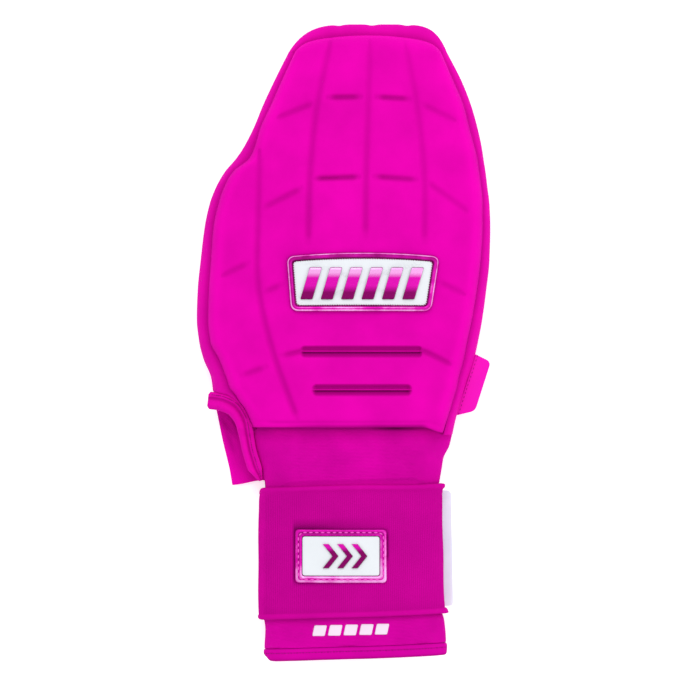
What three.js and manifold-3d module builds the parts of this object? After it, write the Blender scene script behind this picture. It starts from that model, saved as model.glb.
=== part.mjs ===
// A sliding mitt lying on its palm: fingers toward +Y, thumb side toward -X, back of the hand up.
// Millimetres, +Z up, origin on the table under the middle of the palm.
import * as THREE from "three";
import { mergeVertices } from "three/addons/utils/BufferGeometryUtils.js";
import Module from "manifold-3d";

const wasm = await Module();
wasm.setup();

// Hand part
const handLength = 209.6;
const handWidth = 153.4;
const originUp = 0.2085;
const padThickness = 8.5;
const padEdge = 2.2;
const shoulderWidth = 5.5;
const footThickness = 5.2;
const creaseHeight = 14.6;
const archHeight = 9;
const rimWall = 2.2;
const palmThickness = 2.5;
const footDrop = 2.8;

// Wrist part
const cuffWidth = 94;
const cuffShow = 31.2;
const cuffWall = 2;
const cuffTop = 23.9;
const cuffTilt = 1.7;
const strapHeight = 67.6;
const strapWall = 2.2;
const strapRoll = 2.7;
const rollRise = 0.9;
const cuffTail = 21.8;
const hemHeight = 6.8;
const hemWall = 3;
const hemRise = 0.6;
const tabThickness = 1.6;
const tabHeight = 60.5;
const tabLap = 34;
const tabReach = 5;
const tabCorner = 2.2;

// Trim
const bindingWidth = 6.4;
const bindingHeight = 4.4;
const grooveWidth = 2.3;
const grooveDepth = 1.7;
const slotDepth = 3.2;
const slotWidth = 5.6;
const badgeFrameWidth = 3.2;
const badgeRise = 2.4;
const panelRise = 1.1;
const barRise = 0.9;
const patchFrameWidth = 3.6;
const patchRise = 1.5;
const labelThickness = 1.2;
const labelWidth = 8.9;
const clearance = 0.3;

// The hand's outline from the pad's foot (0) to the row where the tip begins, up as a share of
// handLength, the rest as shares of handWidth from the centre line: outer edge and seam of each side
const sides = [
  { up: 0.000, thumbEdge: -0.317, thumbSeam: -0.308, littleSeam: 0.334, littleEdge: 0.367 },
  { up: 0.045, thumbEdge: -0.344, thumbSeam: -0.337, littleSeam: 0.356, littleEdge: 0.385 },
  { up: 0.077, thumbEdge: -0.384, thumbSeam: -0.366, littleSeam: 0.370, littleEdge: 0.399 },
  { up: 0.087, thumbEdge: -0.402, thumbSeam: -0.378, littleSeam: 0.375, littleEdge: 0.404 },
  { up: 0.097, thumbEdge: -0.449, thumbSeam: -0.389, littleSeam: 0.380, littleEdge: 0.408 },
  { up: 0.122, thumbEdge: -0.454, thumbSeam: -0.401, littleSeam: 0.387, littleEdge: 0.419 },
  { up: 0.169, thumbEdge: -0.480, thumbSeam: -0.426, littleSeam: 0.405, littleEdge: 0.441 },
  { up: 0.213, thumbEdge: -0.495, thumbSeam: -0.456, littleSeam: 0.417, littleEdge: 0.455 },
  { up: 0.270, thumbEdge: -0.503, thumbSeam: -0.464, littleSeam: 0.434, littleEdge: 0.470 },
  { up: 0.340, thumbEdge: -0.500, thumbSeam: -0.461, littleSeam: 0.450, littleEdge: 0.483 },
  { up: 0.414, thumbEdge: -0.490, thumbSeam: -0.454, littleSeam: 0.463, littleEdge: 0.494 },
  { up: 0.499, thumbEdge: -0.476, thumbSeam: -0.445, littleSeam: 0.470, littleEdge: 0.497 },
  { up: 0.556, thumbEdge: -0.459, thumbSeam: -0.428, littleSeam: 0.470, littleEdge: 0.494 },
  { up: 0.598, thumbEdge: -0.437, thumbSeam: -0.408, littleSeam: 0.465, littleEdge: 0.487 },
  { up: 0.635, thumbEdge: -0.408, thumbSeam: -0.378, littleSeam: 0.458, littleEdge: 0.481 },
  { up: 0.667, thumbEdge: -0.371, thumbSeam: -0.325, littleSeam: 0.452, littleEdge: 0.474 },
  { up: 0.692, thumbEdge: -0.347, thumbSeam: -0.308, littleSeam: 0.444, littleEdge: 0.469 },
  { up: 0.744, thumbEdge: -0.310, thumbSeam: -0.286, littleSeam: 0.425, littleEdge: 0.454 },
  { up: 0.801, thumbEdge: -0.278, thumbSeam: -0.250, littleSeam: 0.405, littleEdge: 0.432 },
  { up: 0.861, thumbEdge: -0.240, thumbSeam: -0.214, littleSeam: 0.371, littleEdge: 0.400 },
  { up: 0.933, thumbEdge: -0.191, thumbSeam: -0.168, littleSeam: 0.328, littleEdge: 0.350 },
];
const tipStart = sides[sides.length - 1].up;
const seamTip = 0.975;

// Height of the seam and of the pocket's arch above it, along the pad from its foot to the tip seam,
// as shares of creaseHeight and archHeight
const heights = [
  { along: 0.00, seam: 1.40, arch: 0.50 },
  { along: 0.08, seam: 1.26, arch: 0.72 },
  { along: 0.22, seam: 1.08, arch: 0.95 },
  { along: 0.42, seam: 1.00, arch: 1.00 },
  { along: 0.64, seam: 0.94, arch: 0.88 },
  { along: 0.84, seam: 0.80, arch: 0.60 },
  { along: 0.95, seam: 0.68, arch: 0.26 },
  { along: 1.00, seam: 0.62, arch: 0.02 },
];

// The palm panel below the hand rows: down as a share of cuffShow, edges as shares of handWidth
const flap = [
  { down: 0.98, thumb: -0.383, little: 0.317 },
  { down: 0.72, thumb: -0.392, little: 0.322 },
  { down: 0.51, thumb: -0.402, little: 0.329 },
  { down: 0.31, thumb: -0.412, little: 0.345 },
  { down: 0.11, thumb: -0.421, little: 0.356 },
  { down: -0.11, thumb: -0.430, little: 0.369 },
  { down: -0.36, thumb: -0.440, little: 0.383 },
];
const flapSlant = 2.4;
const palmShare = 0.92;

// The cuff from the pad's foot (0) to its end (1): edges as shares of cuffWidth, top of cuffTop
const cuffSections = [
  { down: -0.06, thumb: -0.545, little: 0.612, top: 1.00 },
  { down: 0.03, thumb: -0.510, little: 0.597, top: 1.00 },
  { down: 0.085, thumb: -0.497, little: 0.581, top: 1.00 },
  { down: 0.14, thumb: -0.475, little: 0.550, top: 0.99 },
  { down: 0.20, thumb: -0.448, little: 0.538, top: 0.98 },
  { down: 0.25, thumb: -0.437, little: 0.527, top: 0.97 },
  { down: 0.30, thumb: -0.447, little: 0.514, top: 0.96 },
  { down: 0.55, thumb: -0.450, little: 0.520, top: 0.95 },
  { down: 0.80, thumb: -0.450, little: 0.528, top: 0.95 },
  { down: 0.86, thumb: -0.439, little: 0.556, top: 0.95 },
  { down: 0.94, thumb: -0.444, little: 0.564, top: 0.93 },
  { down: 1.00, thumb: -0.432, little: 0.561, top: 0.90 },
];
const cuffRoundness = 2.4;

// Where the cuff's hand end lies round the wrist: turn in degrees from the little-finger side over
// the back, start as a share of cuffShow below the pad's foot
const cuffMouth = [
  { turn: 0, start: 0.105 },
  { turn: 26, start: 0.10 },
  { turn: 40, start: -0.10 },
  { turn: 50, start: -0.19 },
  { turn: 130, start: -0.19 },
  { turn: 142, start: -0.10 },
  { turn: 160, start: 0.04 },
  { turn: 176, start: 0.10 },
  { turn: 184, start: 0.86 },
  { turn: 200, start: 0.80 },
  { turn: 270, start: 0.72 },
  { turn: 306, start: 0.72 },
  { turn: 318, start: 0.22 },
  { turn: 360, start: 0.105 },
];

// Pressed grooves of the pad: points as shares of handWidth from the centre and of handLength up
const grooves = [
  { path: [[-0.052, 0.945], [-0.096, 0.784], [-0.117, 0.625], [-0.123, 0.457]] },
  { path: [[0.087, 0.955], [0.080, 0.800], [0.073, 0.625], [0.070, 0.474]] },
  { path: [[0.209, 0.945], [0.250, 0.775], [0.270, 0.615], [0.270, 0.457]] },
  { path: [[-0.291, 0.668], [-0.293, 0.500], [-0.293, 0.357], [-0.247, 0.199], [-0.161, 0.022]] },
  { path: [[-0.047, 0.819], [0.050, 0.821]] },
  { path: [[0.117, 0.821], [0.212, 0.816]] },
  { path: [[-0.083, 0.619], [0.045, 0.622]] },
  { path: [[0.109, 0.622], [0.236, 0.615]] },
  { path: [[-0.239, 0.764], [-0.103, 0.803]] },
  { path: [[-0.279, 0.541], [-0.144, 0.591]] },
  { path: [[-0.273, 0.333], [-0.207, 0.354]] },
  { path: [[-0.428, 0.370], [-0.323, 0.407]] },
  { path: [[-0.351, 0.127], [-0.266, 0.149]] },
  { path: [[-0.215, 0.176], [-0.144, 0.191]] },
  { path: [[0.260, 0.801], [0.395, 0.754]] },
  { path: [[0.277, 0.608], [0.433, 0.526]] },
  { path: [[0.317, 0.360], [0.426, 0.323]] },
  { path: [[0.260, 0.191], [0.361, 0.154]] },
];
const slots = [
  { from: -0.144, to: 0.260, up: 0.187 },
  { from: -0.103, to: 0.221, up: 0.092 },
];

// The badge's corners, anticlockwise from the upper one at the thumb side: shares of handWidth and
// handLength
const badge = [
  { x: -0.196, up: 0.423 },
  { x: -0.181, up: 0.2865 },
  { x: 0.294, up: 0.2865 },
  { x: 0.323, up: 0.423 },
];
const badgeCorner = 4.2;
const badgeBow = 2.0;
const barCount = 6;

const shape = {
  shell: new THREE.MeshStandardMaterial({ color: 0xee02b4, roughness: 0.75, metalness: 0 }),
  rim: new THREE.MeshStandardMaterial({ color: 0xe805b0, roughness: 0.8, metalness: 0 }),
  palm: new THREE.MeshStandardMaterial({ color: 0xd804a4, roughness: 0.85, metalness: 0 }),
  knit: new THREE.MeshStandardMaterial({ color: 0xda03a6, roughness: 0.9, metalness: 0 }),
  elastic: new THREE.MeshStandardMaterial({ color: 0xc40695, roughness: 0.9, metalness: 0 }),
  chrome: new THREE.MeshStandardMaterial({ color: 0xdb4ac7, roughness: 0.2, metalness: 0.8 }),
  white: new THREE.MeshStandardMaterial({ color: 0xeaf5f5, roughness: 0.5, metalness: 0 }),
  hook: new THREE.MeshStandardMaterial({ color: 0xe2e1ee, roughness: 0.8, metalness: 0 }),
  label: new THREE.MeshStandardMaterial({ color: 0xfa14c3, roughness: 0.4, metalness: 0 }),
};

const mitt = new THREE.Group();

function add(name, material, geometry) {
  const mesh = new THREE.Mesh(geometry, material);
  mesh.name = name;
  mitt.add(mesh);
}

const mix = (a, b, share) => a + (b - a) * share;

function smoothstep(low, high, value) {
  const t = Math.min(Math.max((value - low) / (high - low), 0), 1);
  return t * t * (3 - 2 * t);
}

// A smooth curve through a table's rows that never swings past them
function through(rows, key, column) {
  const x = rows.map((row) => row[key]);
  const y = rows.map((row) => row[column]);
  const last = rows.length - 1;
  const rate = (i) => (y[i + 1] - y[i]) / (x[i + 1] - x[i]);
  const slopes = x.map((_, i) => {
    const before = rate(Math.max(i - 1, 0));
    const after = rate(Math.min(i, last - 1));
    return before * after <= 0 ? 0 : (2 * before * after) / (before + after);
  });
  return (at) => {
    const rising = x[last] > x[0];
    let i = 0;
    while (i < last - 1 && (rising ? at > x[i + 1] : at < x[i + 1])) i += 1;
    const span = x[i + 1] - x[i];
    const t = Math.min(Math.max((at - x[i]) / span, 0), 1);
    const t2 = t * t;
    const t3 = t2 * t;
    return y[i] * (2 * t3 - 3 * t2 + 1) + span * slopes[i] * (t3 - 2 * t2 + t)
      + y[i + 1] * (3 * t2 - 2 * t3) + span * slopes[i + 1] * (t3 - t2);
  };
}

// A closed geometry from points and triangles, turned to face outwards
function closed(points, faces) {
  let volume = 0;
  for (const [a, b, c] of faces) {
    const [p, q, r] = [points[a], points[b], points[c]];
    volume += p[0] * (q[1] * r[2] - q[2] * r[1]) - p[1] * (q[0] * r[2] - q[2] * r[0])
      + p[2] * (q[0] * r[1] - q[1] * r[0]);
  }
  const index = faces.flatMap(([a, b, c]) => (volume > 0 ? [a, b, c] : [a, c, b]));
  const geometry = new THREE.BufferGeometry();
  geometry.setAttribute("position", new THREE.Float32BufferAttribute(points.flat(), 3));
  geometry.setIndex(index);
  return geometry;
}

// Skins a row of matching closed sections; an open row is capped by strips across its end sections
function loft(sections, isRing) {
  const size = sections[0].length;
  const points = sections.flat();
  const faces = [];
  const steps = isRing ? sections.length : sections.length - 1;
  for (let s = 0; s < steps; s += 1) {
    const here = s * size;
    const next = ((s + 1) % sections.length) * size;
    for (let i = 0; i < size; i += 1) {
      const j = (i + 1) % size;
      faces.push([here + i, here + j, next + j], [here + i, next + j, next + i]);
    }
  }
  if (!isRing) {
    const end = (sections.length - 1) * size;
    for (let i = 0; i < size / 2 - 1; i += 1) {
      const j = size - 1 - i;
      faces.push([i, j, j - 1], [i, j - 1, i + 1]);
      faces.push([end + i, end + j - 1, end + j], [end + i, end + i + 1, end + j - 1]);
    }
  }
  return closed(points, faces);
}

// A plate on a convex outline, its two skins following two surfaces
function plate(loop, top, bottom, rings) {
  const count = loop.length;
  const centre = [0, 1].map((k) => loop.reduce((sum, p) => sum + p[k], 0) / count);
  const points = [];
  const faces = [];
  const skin = (surface) => {
    const base = points.length;
    for (let r = rings; r > 0; r -= 1) {
      for (const p of loop) {
        const [x, y] = [0, 1].map((k) => mix(centre[k], p[k], r / rings));
        points.push([x, y, surface(x, y)]);
      }
    }
    points.push([...centre, surface(...centre)]);
    return base;
  };
  const upper = skin(top);
  const lower = skin(bottom);
  for (let i = 0; i < count; i += 1) {
    const j = (i + 1) % count;
    for (let r = 0; r < rings - 1; r += 1) {
      const [out, inn] = [r * count, (r + 1) * count];
      faces.push([upper + out + i, upper + out + j, upper + inn + j]);
      faces.push([upper + out + i, upper + inn + j, upper + inn + i]);
      faces.push([lower + out + i, lower + inn + j, lower + out + j]);
      faces.push([lower + out + i, lower + inn + i, lower + inn + j]);
    }
    const edge = (rings - 1) * count;
    const hub = rings * count;
    faces.push([upper + edge + i, upper + edge + j, upper + hub]);
    faces.push([lower + edge + i, lower + hub, lower + edge + j]);
    faces.push([upper + i, lower + i, lower + j], [upper + i, lower + j, upper + j]);
  }
  return closed(points, faces);
}

// A polygon's outline with rounded corners and divided sides
function rounded(corners, radius, cornerSteps, sideSteps) {
  const count = corners.length;
  const toward = (from, to) => {
    const length = Math.hypot(to[0] - from[0], to[1] - from[1]);
    return [0, 1].map((k) => from[k] + ((to[k] - from[k]) / length) * radius);
  };
  const loop = [];
  for (let i = 0; i < count; i += 1) {
    const corner = corners[i];
    const next = corners[(i + 1) % count];
    const start = toward(corner, corners[(i + count - 1) % count]);
    const end = toward(corner, next);
    for (let s = 0; s <= cornerSteps; s += 1) {
      const t = s / cornerSteps;
      loop.push([0, 1].map((k) =>
        (1 - t) * (1 - t) * start[k] + 2 * t * (1 - t) * corner[k] + t * t * end[k]));
    }
    const far = toward(next, corner);
    for (let s = 1; s < sideSteps; s += 1) {
      loop.push([0, 1].map((k) => mix(end[k], far[k], s / sideSteps)));
    }
  }
  return loop;
}

// Moves a polygon's corners inwards by the same distance on every side; corners run anticlockwise
function inset(corners, distance) {
  const count = corners.length;
  const inward = (a, b) => {
    const length = Math.hypot(b[0] - a[0], b[1] - a[1]);
    return [-(b[1] - a[1]) / length, (b[0] - a[0]) / length];
  };
  return corners.map((corner, i) => {
    const m = inward(corners[(i + count - 1) % count], corner);
    const n = inward(corner, corners[(i + 1) % count]);
    const scale = distance / (1 + m[0] * n[0] + m[1] * n[1]);
    return [corner[0] + (m[0] + n[0]) * scale, corner[1] + (m[1] + n[1]) * scale];
  });
}

// A raised frame between two matching outlines, following a surface
function frameOn(outer, inner, surface, profile) {
  return loft(outer.map((p, i) => profile.map(({ across, rise }) => {
    const [x, y] = [0, 1].map((k) => mix(p[k], inner[i][k], across));
    return [x, y, surface(x, y) + rise];
  })), true);
}

function toManifold(geometry) {
  const merged = mergeVertices(geometry, 1e-4);
  const mesh = new wasm.Mesh({
    numProp: 3,
    vertProperties: new Float32Array(merged.attributes.position.array),
    triVerts: new Uint32Array(merged.index.array),
  });
  mesh.merge();
  return new wasm.Manifold(mesh);
}

function fromManifold(solid) {
  const mesh = solid.getMesh();
  const geometry = new THREE.BufferGeometry();
  geometry.setAttribute("position", new THREE.BufferAttribute(mesh.vertProperties, 3));
  geometry.setIndex(new THREE.BufferAttribute(mesh.triVerts, 1));
  return geometry;
}

// Hand outline in millimetres
const upToY = (up) => (up - originUp) * handLength;
const footY = upToY(0);
const edgeOf = {};
for (const column of ["thumbEdge", "thumbSeam", "littleSeam", "littleEdge"]) {
  const share = through(sides, "up", column);
  edgeOf[column] = (up) => share(up) * handWidth;
}

// Across is -1 at the thumb side and 1 at the little finger's
function tipSeamUp(across) {
  const fall = 0.5 * across ** 2 + 0.5 * across ** 10;
  return seamTip - (seamTip - tipStart) * fall;
}

function tipEdgeUp(across) {
  const sharpness = across < 0 ? 4.4 : 6;
  return 1 - (1 - tipStart) * Math.abs(across) ** sharpness;
}

// A point of the pad in plan: across from -1 to 1, along from the foot (0) to the tip seam (1)
function padPlan(across, along) {
  const up = along * tipStart;
  const left = edgeOf.thumbSeam(up);
  const right = edgeOf.littleSeam(up);
  const x = mix(left, right, (across + 1) / 2);
  const bulge = (tipSeamUp(across) - tipStart) * along ** 6;
  const drop = footDrop * smoothstep(0.78, 1, across) * (1 - along) ** 10;
  return [x, upToY(up + bulge) - drop];
}

const seamShare = through(heights, "along", "seam");
const archShare = through(heights, "along", "arch");
const seamZ = (along) => seamShare(along) * creaseHeight;

function ceiling(across, along) {
  return seamZ(along) + archShare(along) * archHeight * (1 - Math.abs(across) ** 2.2);
}

const shoulder = (distance, width) => {
  const short = 1 - Math.min(Math.max(distance / width, 0), 1);
  return Math.sqrt(1 - short * short);
};

function padTop(across, along) {
  const [x, y] = padPlan(across, along);
  const up = along * tipStart;
  const toSide = Math.min(x - edgeOf.thumbSeam(up), edgeOf.littleSeam(up) - x);
  const toTip = upToY(tipSeamUp(across)) - y;
  const toFoot = y - padPlan(across, 0)[1];
  const atFoot = mix(footThickness / padThickness, 1, shoulder(toFoot, 2.4 * shoulderWidth));
  const cover = shoulder(Math.min(toSide, toTip), shoulderWidth) * atFoot;
  return ceiling(across, along) + mix(padEdge, padThickness, cover);
}

// The pad's place under a point of the plan
function locate(x, y) {
  let along = (y - footY) / (handLength * tipStart);
  let across = 0;
  for (let step = 0; step < 8; step += 1) {
    along = Math.min(Math.max(along, 0), 1);
    const left = edgeOf.thumbSeam(along * tipStart);
    const right = edgeOf.littleSeam(along * tipStart);
    across = Math.min(Math.max((2 * x - left - right) / (right - left), -1), 1);
    along += (y - padPlan(across, along)[1]) / (handLength * tipStart);
  }
  return [across, Math.min(Math.max(along, 0), 1)];
}

const padTopAt = (x, y) => padTop(...locate(x, y));
const ceilingAt = (x, y) => ceiling(...locate(x, y));

// Stations: every row of the outline, and the middle where two rows lie far apart
const farRows = 0.062;
const stations = sides.flatMap((row, i) => {
  const before = i === 0 ? row.up : sides[i - 1].up;
  return row.up - before > farRows ? [(before + row.up) / 2, row.up] : [row.up];
}).map((up) => up / tipStart);
const acrossSteps = 16;
const acrossStations = Array.from({ length: acrossSteps + 1 }, (_, i) =>
  Math.sin((Math.PI / 2) * ((2 * i) / acrossSteps - 1)));

function grooveCutter(path, width, depth, steps) {
  const route = new THREE.CatmullRomCurve3(path.map(([x, up]) =>
    new THREE.Vector3(x * handWidth, upToY(up), 0)));
  const sections = [];
  for (let s = 0; s <= steps; s += 1) {
    const t = s / steps;
    const point = route.getPointAt(t);
    const way = route.getTangentAt(t);
    const z = padTopAt(point.x, point.y);
    const ends = Math.min(1, 0.25 + 4 * Math.min(t, 1 - t) * (steps > 3 ? 1 : 2));
    const half = (width / 2) * Math.sqrt(ends);
    const at = (side, rise) => [point.x - way.y * side, point.y + way.x * side, z + rise];
    sections.push([at(-1.6 * half, depth * 0.6), at(1.6 * half, depth * 0.6),
      at(half * 0.2, -depth * ends), at(-half * 0.2, -depth * ends)]);
  }
  return loft(sections, false);
}

// A slot is two troughs side by side, which leaves a low ridge along its middle
function slotCutter(slot, side) {
  const half = slotWidth / 4;
  const steps = 6;
  const y = upToY(slot.up) + side * half;
  const sections = [];
  for (let s = 0; s <= steps; s += 1) {
    const x = mix(slot.from, slot.to, s / steps) * handWidth;
    const z = padTopAt(x, y);
    const depth = s === 0 || s === steps ? slotDepth * 0.35 : slotDepth;
    sections.push([[x, y + half * 1.15, z + 2], [x, y - half * 1.15, z + 2],
      [x, y - half * 0.55, z - depth], [x, y + half * 0.55, z - depth]]);
  }
  return loft(sections, false);
}

function makePad() {
  const sections = stations.map((along) => {
    const upper = acrossStations.map((across) => [...padPlan(across, along), padTop(across, along)]);
    const lower = acrossStations.map((across) => [...padPlan(across, along), ceiling(across, along)]);
    return [...upper, ...lower.reverse()];
  });
  let pad = toManifold(loft(sections, false));
  for (const groove of grooves) {
    const steps = groove.path.length > 2 ? 12 : 4;
    pad = pad.subtract(toManifold(grooveCutter(groove.path, grooveWidth, grooveDepth, steps)));
  }
  for (const slot of slots) {
    pad = pad.subtract(toManifold(slotCutter(slot, -1)));
    pad = pad.subtract(toManifold(slotCutter(slot, 1)));
  }
  return fromManifold(pad);
}

// The rim's section from the seam outwards: share of its width, share of its fall to the palm
const rimProfile = [
  { out: 0, fall: 0 },
  { out: 0.45, fall: 0.06 },
  { out: 0.82, fall: 0.24 },
  { out: 1, fall: 0.58 },
  { out: 0.92, fall: 0.86 },
  { out: 0.72, fall: 1 },
];
// Along the opening the rim is a narrow strip that ends at the binding
const stripProfile = [
  { out: 0, fall: 0 },
  { out: 0.3, fall: 0.05 },
  { out: 0.55, fall: 0.2 },
  { out: 0.78, fall: 0.45 },
  { out: 0.92, fall: 0.75 },
  { out: 1, fall: 1 },
];
const stripFall = 2.2;
const palmTop = palmThickness + clearance;
const openingTop = 0.09;

function rimSection(seam, edge, along, hasSkirt) {
  const span = [edge[0] - seam[0], edge[1] - seam[1]];
  const width = Math.hypot(...span);
  const way = span.map((part) => part / width);
  const top = seamZ(along) + padEdge * 0.8;
  const fall = hasSkirt ? top - palmTop : stripFall;
  const profile = hasSkirt ? rimProfile : stripProfile;
  const outer = profile.map((row) => [row.out * (width - clearance), top - row.fall * fall]);
  const inner = outer.map((point, i) => {
    if (!hasSkirt) return [point[0], point[1] - rimWall];
    const before = outer[Math.max(i - 1, 0)];
    const after = outer[Math.min(i + 1, outer.length - 1)];
    const run = [after[0] - before[0], after[1] - before[1]];
    const length = Math.hypot(...run);
    const r = point[0] + (run[1] / length) * rimWall;
    const z = point[1] - (run[0] / length) * rimWall;
    return [Math.max(r, 0), i === outer.length - 1 ? point[1] : z];
  });
  return [...outer, ...inner.reverse()].map(([r, z]) => [
    seam[0] + way[0] * (r + clearance), seam[1] + way[1] * (r + clearance), Math.max(z, palmTop)]);
}

function makeRim() {
  const side = (along, seamColumn, edgeColumn, across) => {
    const up = along * tipStart;
    const y = padPlan(across, along)[1];
    const hasSkirt = across > 0 || up > openingTop;
    return rimSection([edgeOf[seamColumn](up), y], [edgeOf[edgeColumn](up), y], along, hasSkirt);
  };
  const little = stations.map((along) => side(along, "littleSeam", "littleEdge", 1));
  const thumb = stations.map((along) => side(along, "thumbSeam", "thumbEdge", -1));
  const tip = acrossStations.slice(1, -1).map((across) => {
    const share = (across + 1) / 2;
    const edgeX = mix(edgeOf.thumbEdge(tipStart), edgeOf.littleEdge(tipStart), share);
    return rimSection(padPlan(across, 1), [edgeX, upToY(tipEdgeUp(across))], 1, true);
  });
  return loft([...little, ...tip.reverse(), ...thumb.reverse()], false);
}

function makePalm() {
  const across = Array.from({ length: 9 }, (_, i) => Math.sin((Math.PI / 2) * (i / 4 - 1)));
  const flapRows = flap.map((row, i) => across.map((a) => {
    const x = mix(row.thumb, row.little, (a + 1) / 2) * handWidth;
    const lift = i === 0 ? flapSlant * smoothstep(-1, -0.7, a) : 0;
    return [x, footY - row.down * cuffShow + lift];
  }));
  const handRows = stations.filter((along) => along * tipStart > openingTop).map((along) => {
    const up = along * tipStart;
    const left = mix(edgeOf.thumbSeam(up), edgeOf.thumbEdge(up), palmShare);
    const right = mix(edgeOf.littleSeam(up), edgeOf.littleEdge(up), palmShare);
    return across.map((a) => {
      const tipUp = mix(tipSeamUp(a), tipEdgeUp(a), palmShare);
      return [mix(left, right, (a + 1) / 2), upToY(up + (tipUp - tipStart) * along ** 6)];
    });
  });
  return loft([...flapRows, ...handRows].map((row) => [
    ...row.map((p) => [...p, palmThickness]),
    ...row.map((p) => [...p, 0]).reverse(),
  ]), false);
}

// Cuff and strap
const cuffLength = cuffShow + strapHeight + cuffTail;
const cuffThumb = through(cuffSections, "down", "thumb");
const cuffLittle = through(cuffSections, "down", "little");
const cuffTopShare = through(cuffSections, "down", "top");
const mouthStart = (turn) => {
  const i = cuffMouth.findIndex((row) => row.turn >= turn);
  const [low, high] = [cuffMouth[Math.max(i - 1, 0)], cuffMouth[i]];
  const span = high.turn - low.turn || 1;
  return mix(low.start, high.start, (turn - low.turn) / span) * cuffShow;
};
const onStrap = tabThickness + 2 * clearance + strapWall;
const strapFace = clearance + strapWall;
const strapStart = cuffShow;
const strapEnd = cuffShow + strapHeight;
const strapStations = [0, 0.35, 0.65, 1].map((share) => mix(strapStart, strapEnd, share));

// The cuff's underside: over the palm panel, over the strap and the tab, then down to the table
function cuffFloor(below) {
  const toStrap = smoothstep(cuffShow * 0.88, cuffShow, below);
  const toHem = smoothstep(cuffShow + strapHeight, cuffLength - hemHeight, below);
  return mix(mix(palmTop, onStrap, toStrap), hemRise, toHem);
}

// A point of the cuff's outer face, grown outwards: turn in degrees, below in millimetres down
// from the pad's foot
function cuffPoint(turn, below, grow) {
  const down = below / cuffLength;
  const left = cuffThumb(down) * cuffWidth;
  const right = cuffLittle(down) * cuffWidth;
  const bottom = cuffFloor(below);
  const top = cuffTopShare(down) * cuffTop;
  const angle = (turn * Math.PI) / 180;
  const power = (value) => Math.sign(value) * Math.abs(value) ** (2 / cuffRoundness);
  const x = (left + right) / 2 + ((right - left) / 2 + grow) * power(Math.cos(angle));
  const z = (top + bottom) / 2 + ((top - bottom) / 2 + grow) * power(Math.sin(angle));
  const tilt = cuffTilt * Math.cos(angle) * smoothstep(0.1 * cuffShow, cuffShow, below);
  return [x, footY - below + tilt, z];
}

const cuffTurns = Array.from({ length: 30 }, (_, i) => i * 12);

function makeCuff() {
  const turns = [...cuffTurns.filter((turn) => turn !== 180), 176, 184].sort((a, b) => a - b);
  const end = cuffLength - hemHeight;
  const shared = [...strapStations, mix(strapEnd, end, 0.35), mix(strapEnd, end, 0.7), end];
  return loft(turns.map((turn) => {
    const start = mouthStart(turn);
    const open = [0, 0.3, 0.6, 1].map((share) => mix(start, cuffShow * 0.88, share));
    const row = (grow) => [...open, ...shared].map((below) => {
      const [x, y, z] = cuffPoint(turn, below, grow);
      const isUnderPad = y > footY - footDrop - clearance && z > seamZ(0) * 0.7;
      const limit = ceilingAt(x, y) - clearance + (grow < 0 ? grow : 0);
      return [x, y, isUnderPad ? Math.min(z, limit) : z];
    });
    return [...row(0), ...row(-cuffWall).reverse()];
  }), true);
}

function makeHem() {
  const start = cuffLength - hemHeight + clearance;
  const profile = [
    { below: start, grow: 0 },
    { below: start + 0.8, grow: hemRise },
    { below: cuffLength - 0.8, grow: hemRise },
    { below: cuffLength, grow: 0 },
    { below: cuffLength, grow: hemRise - hemWall + 0.6 },
    { below: cuffLength - 0.8, grow: hemRise - hemWall },
    { below: start, grow: hemRise - hemWall },
  ];
  return loft(cuffTurns.map((turn) => profile.map((p) => cuffPoint(turn, p.below, p.grow))), true);
}

function makeStrap() {
  const outer = [
    { below: 0, grow: strapFace * 0.6 },
    { below: strapRoll * 0.25, grow: strapFace + rollRise * 0.8 },
    { below: strapRoll * 0.65, grow: strapFace + rollRise },
    { below: strapRoll, grow: strapFace },
  ];
  const profile = [
    ...outer.map((p) => ({ below: strapStart + p.below, grow: p.grow })),
    ...strapStations.slice(1, -1).map((below) => ({ below, grow: strapFace })),
    ...outer.map((p) => ({ below: strapEnd - p.below, grow: p.grow })).reverse(),
    ...strapStations.map((below) => ({ below, grow: clearance })).reverse(),
  ];
  const floor = tabThickness + clearance;
  return loft(cuffTurns.map((turn) => profile.map((p) => {
    const [x, y, z] = cuffPoint(turn, p.below, p.grow);
    return [x, y, Math.max(z, floor)];
  })), true);
}

// Height of the strap's face over a point of the plan
function strapTopAt(x, y) {
  const down = (footY - y) / cuffLength;
  const left = cuffThumb(down) * cuffWidth - strapFace;
  const right = cuffLittle(down) * cuffWidth + strapFace;
  const top = cuffTopShare(down) * cuffTop;
  const bottom = cuffFloor(footY - y);
  const share = Math.min(Math.abs((2 * x - left - right) / (right - left)), 1);
  const lift = (1 - share ** cuffRoundness) ** (1 / cuffRoundness);
  return (top + bottom) / 2 + ((top - bottom) / 2 + strapFace) * lift;
}

function makeTab() {
  const above = strapStart + (strapHeight - tabHeight) / 2;
  const edgeAt = (below) => cuffPoint(0, below, strapFace)[0] + tabReach;
  const middle = cuffTilt * 0.8;
  const corners = [
    [edgeAt(above) - tabReach - tabLap, footY - above + middle],
    [edgeAt(above + tabHeight) - tabReach - tabLap, footY - above - tabHeight + middle],
    [edgeAt(above + tabHeight), footY - above - tabHeight + middle],
    [edgeAt(above), footY - above + middle],
  ];
  const outline = new THREE.Shape(rounded(corners, tabCorner, 4, 1).map((p) => new THREE.Vector2(...p)));
  return new THREE.ExtrudeGeometry(outline, { depth: tabThickness, bevelEnabled: false });
}

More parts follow.
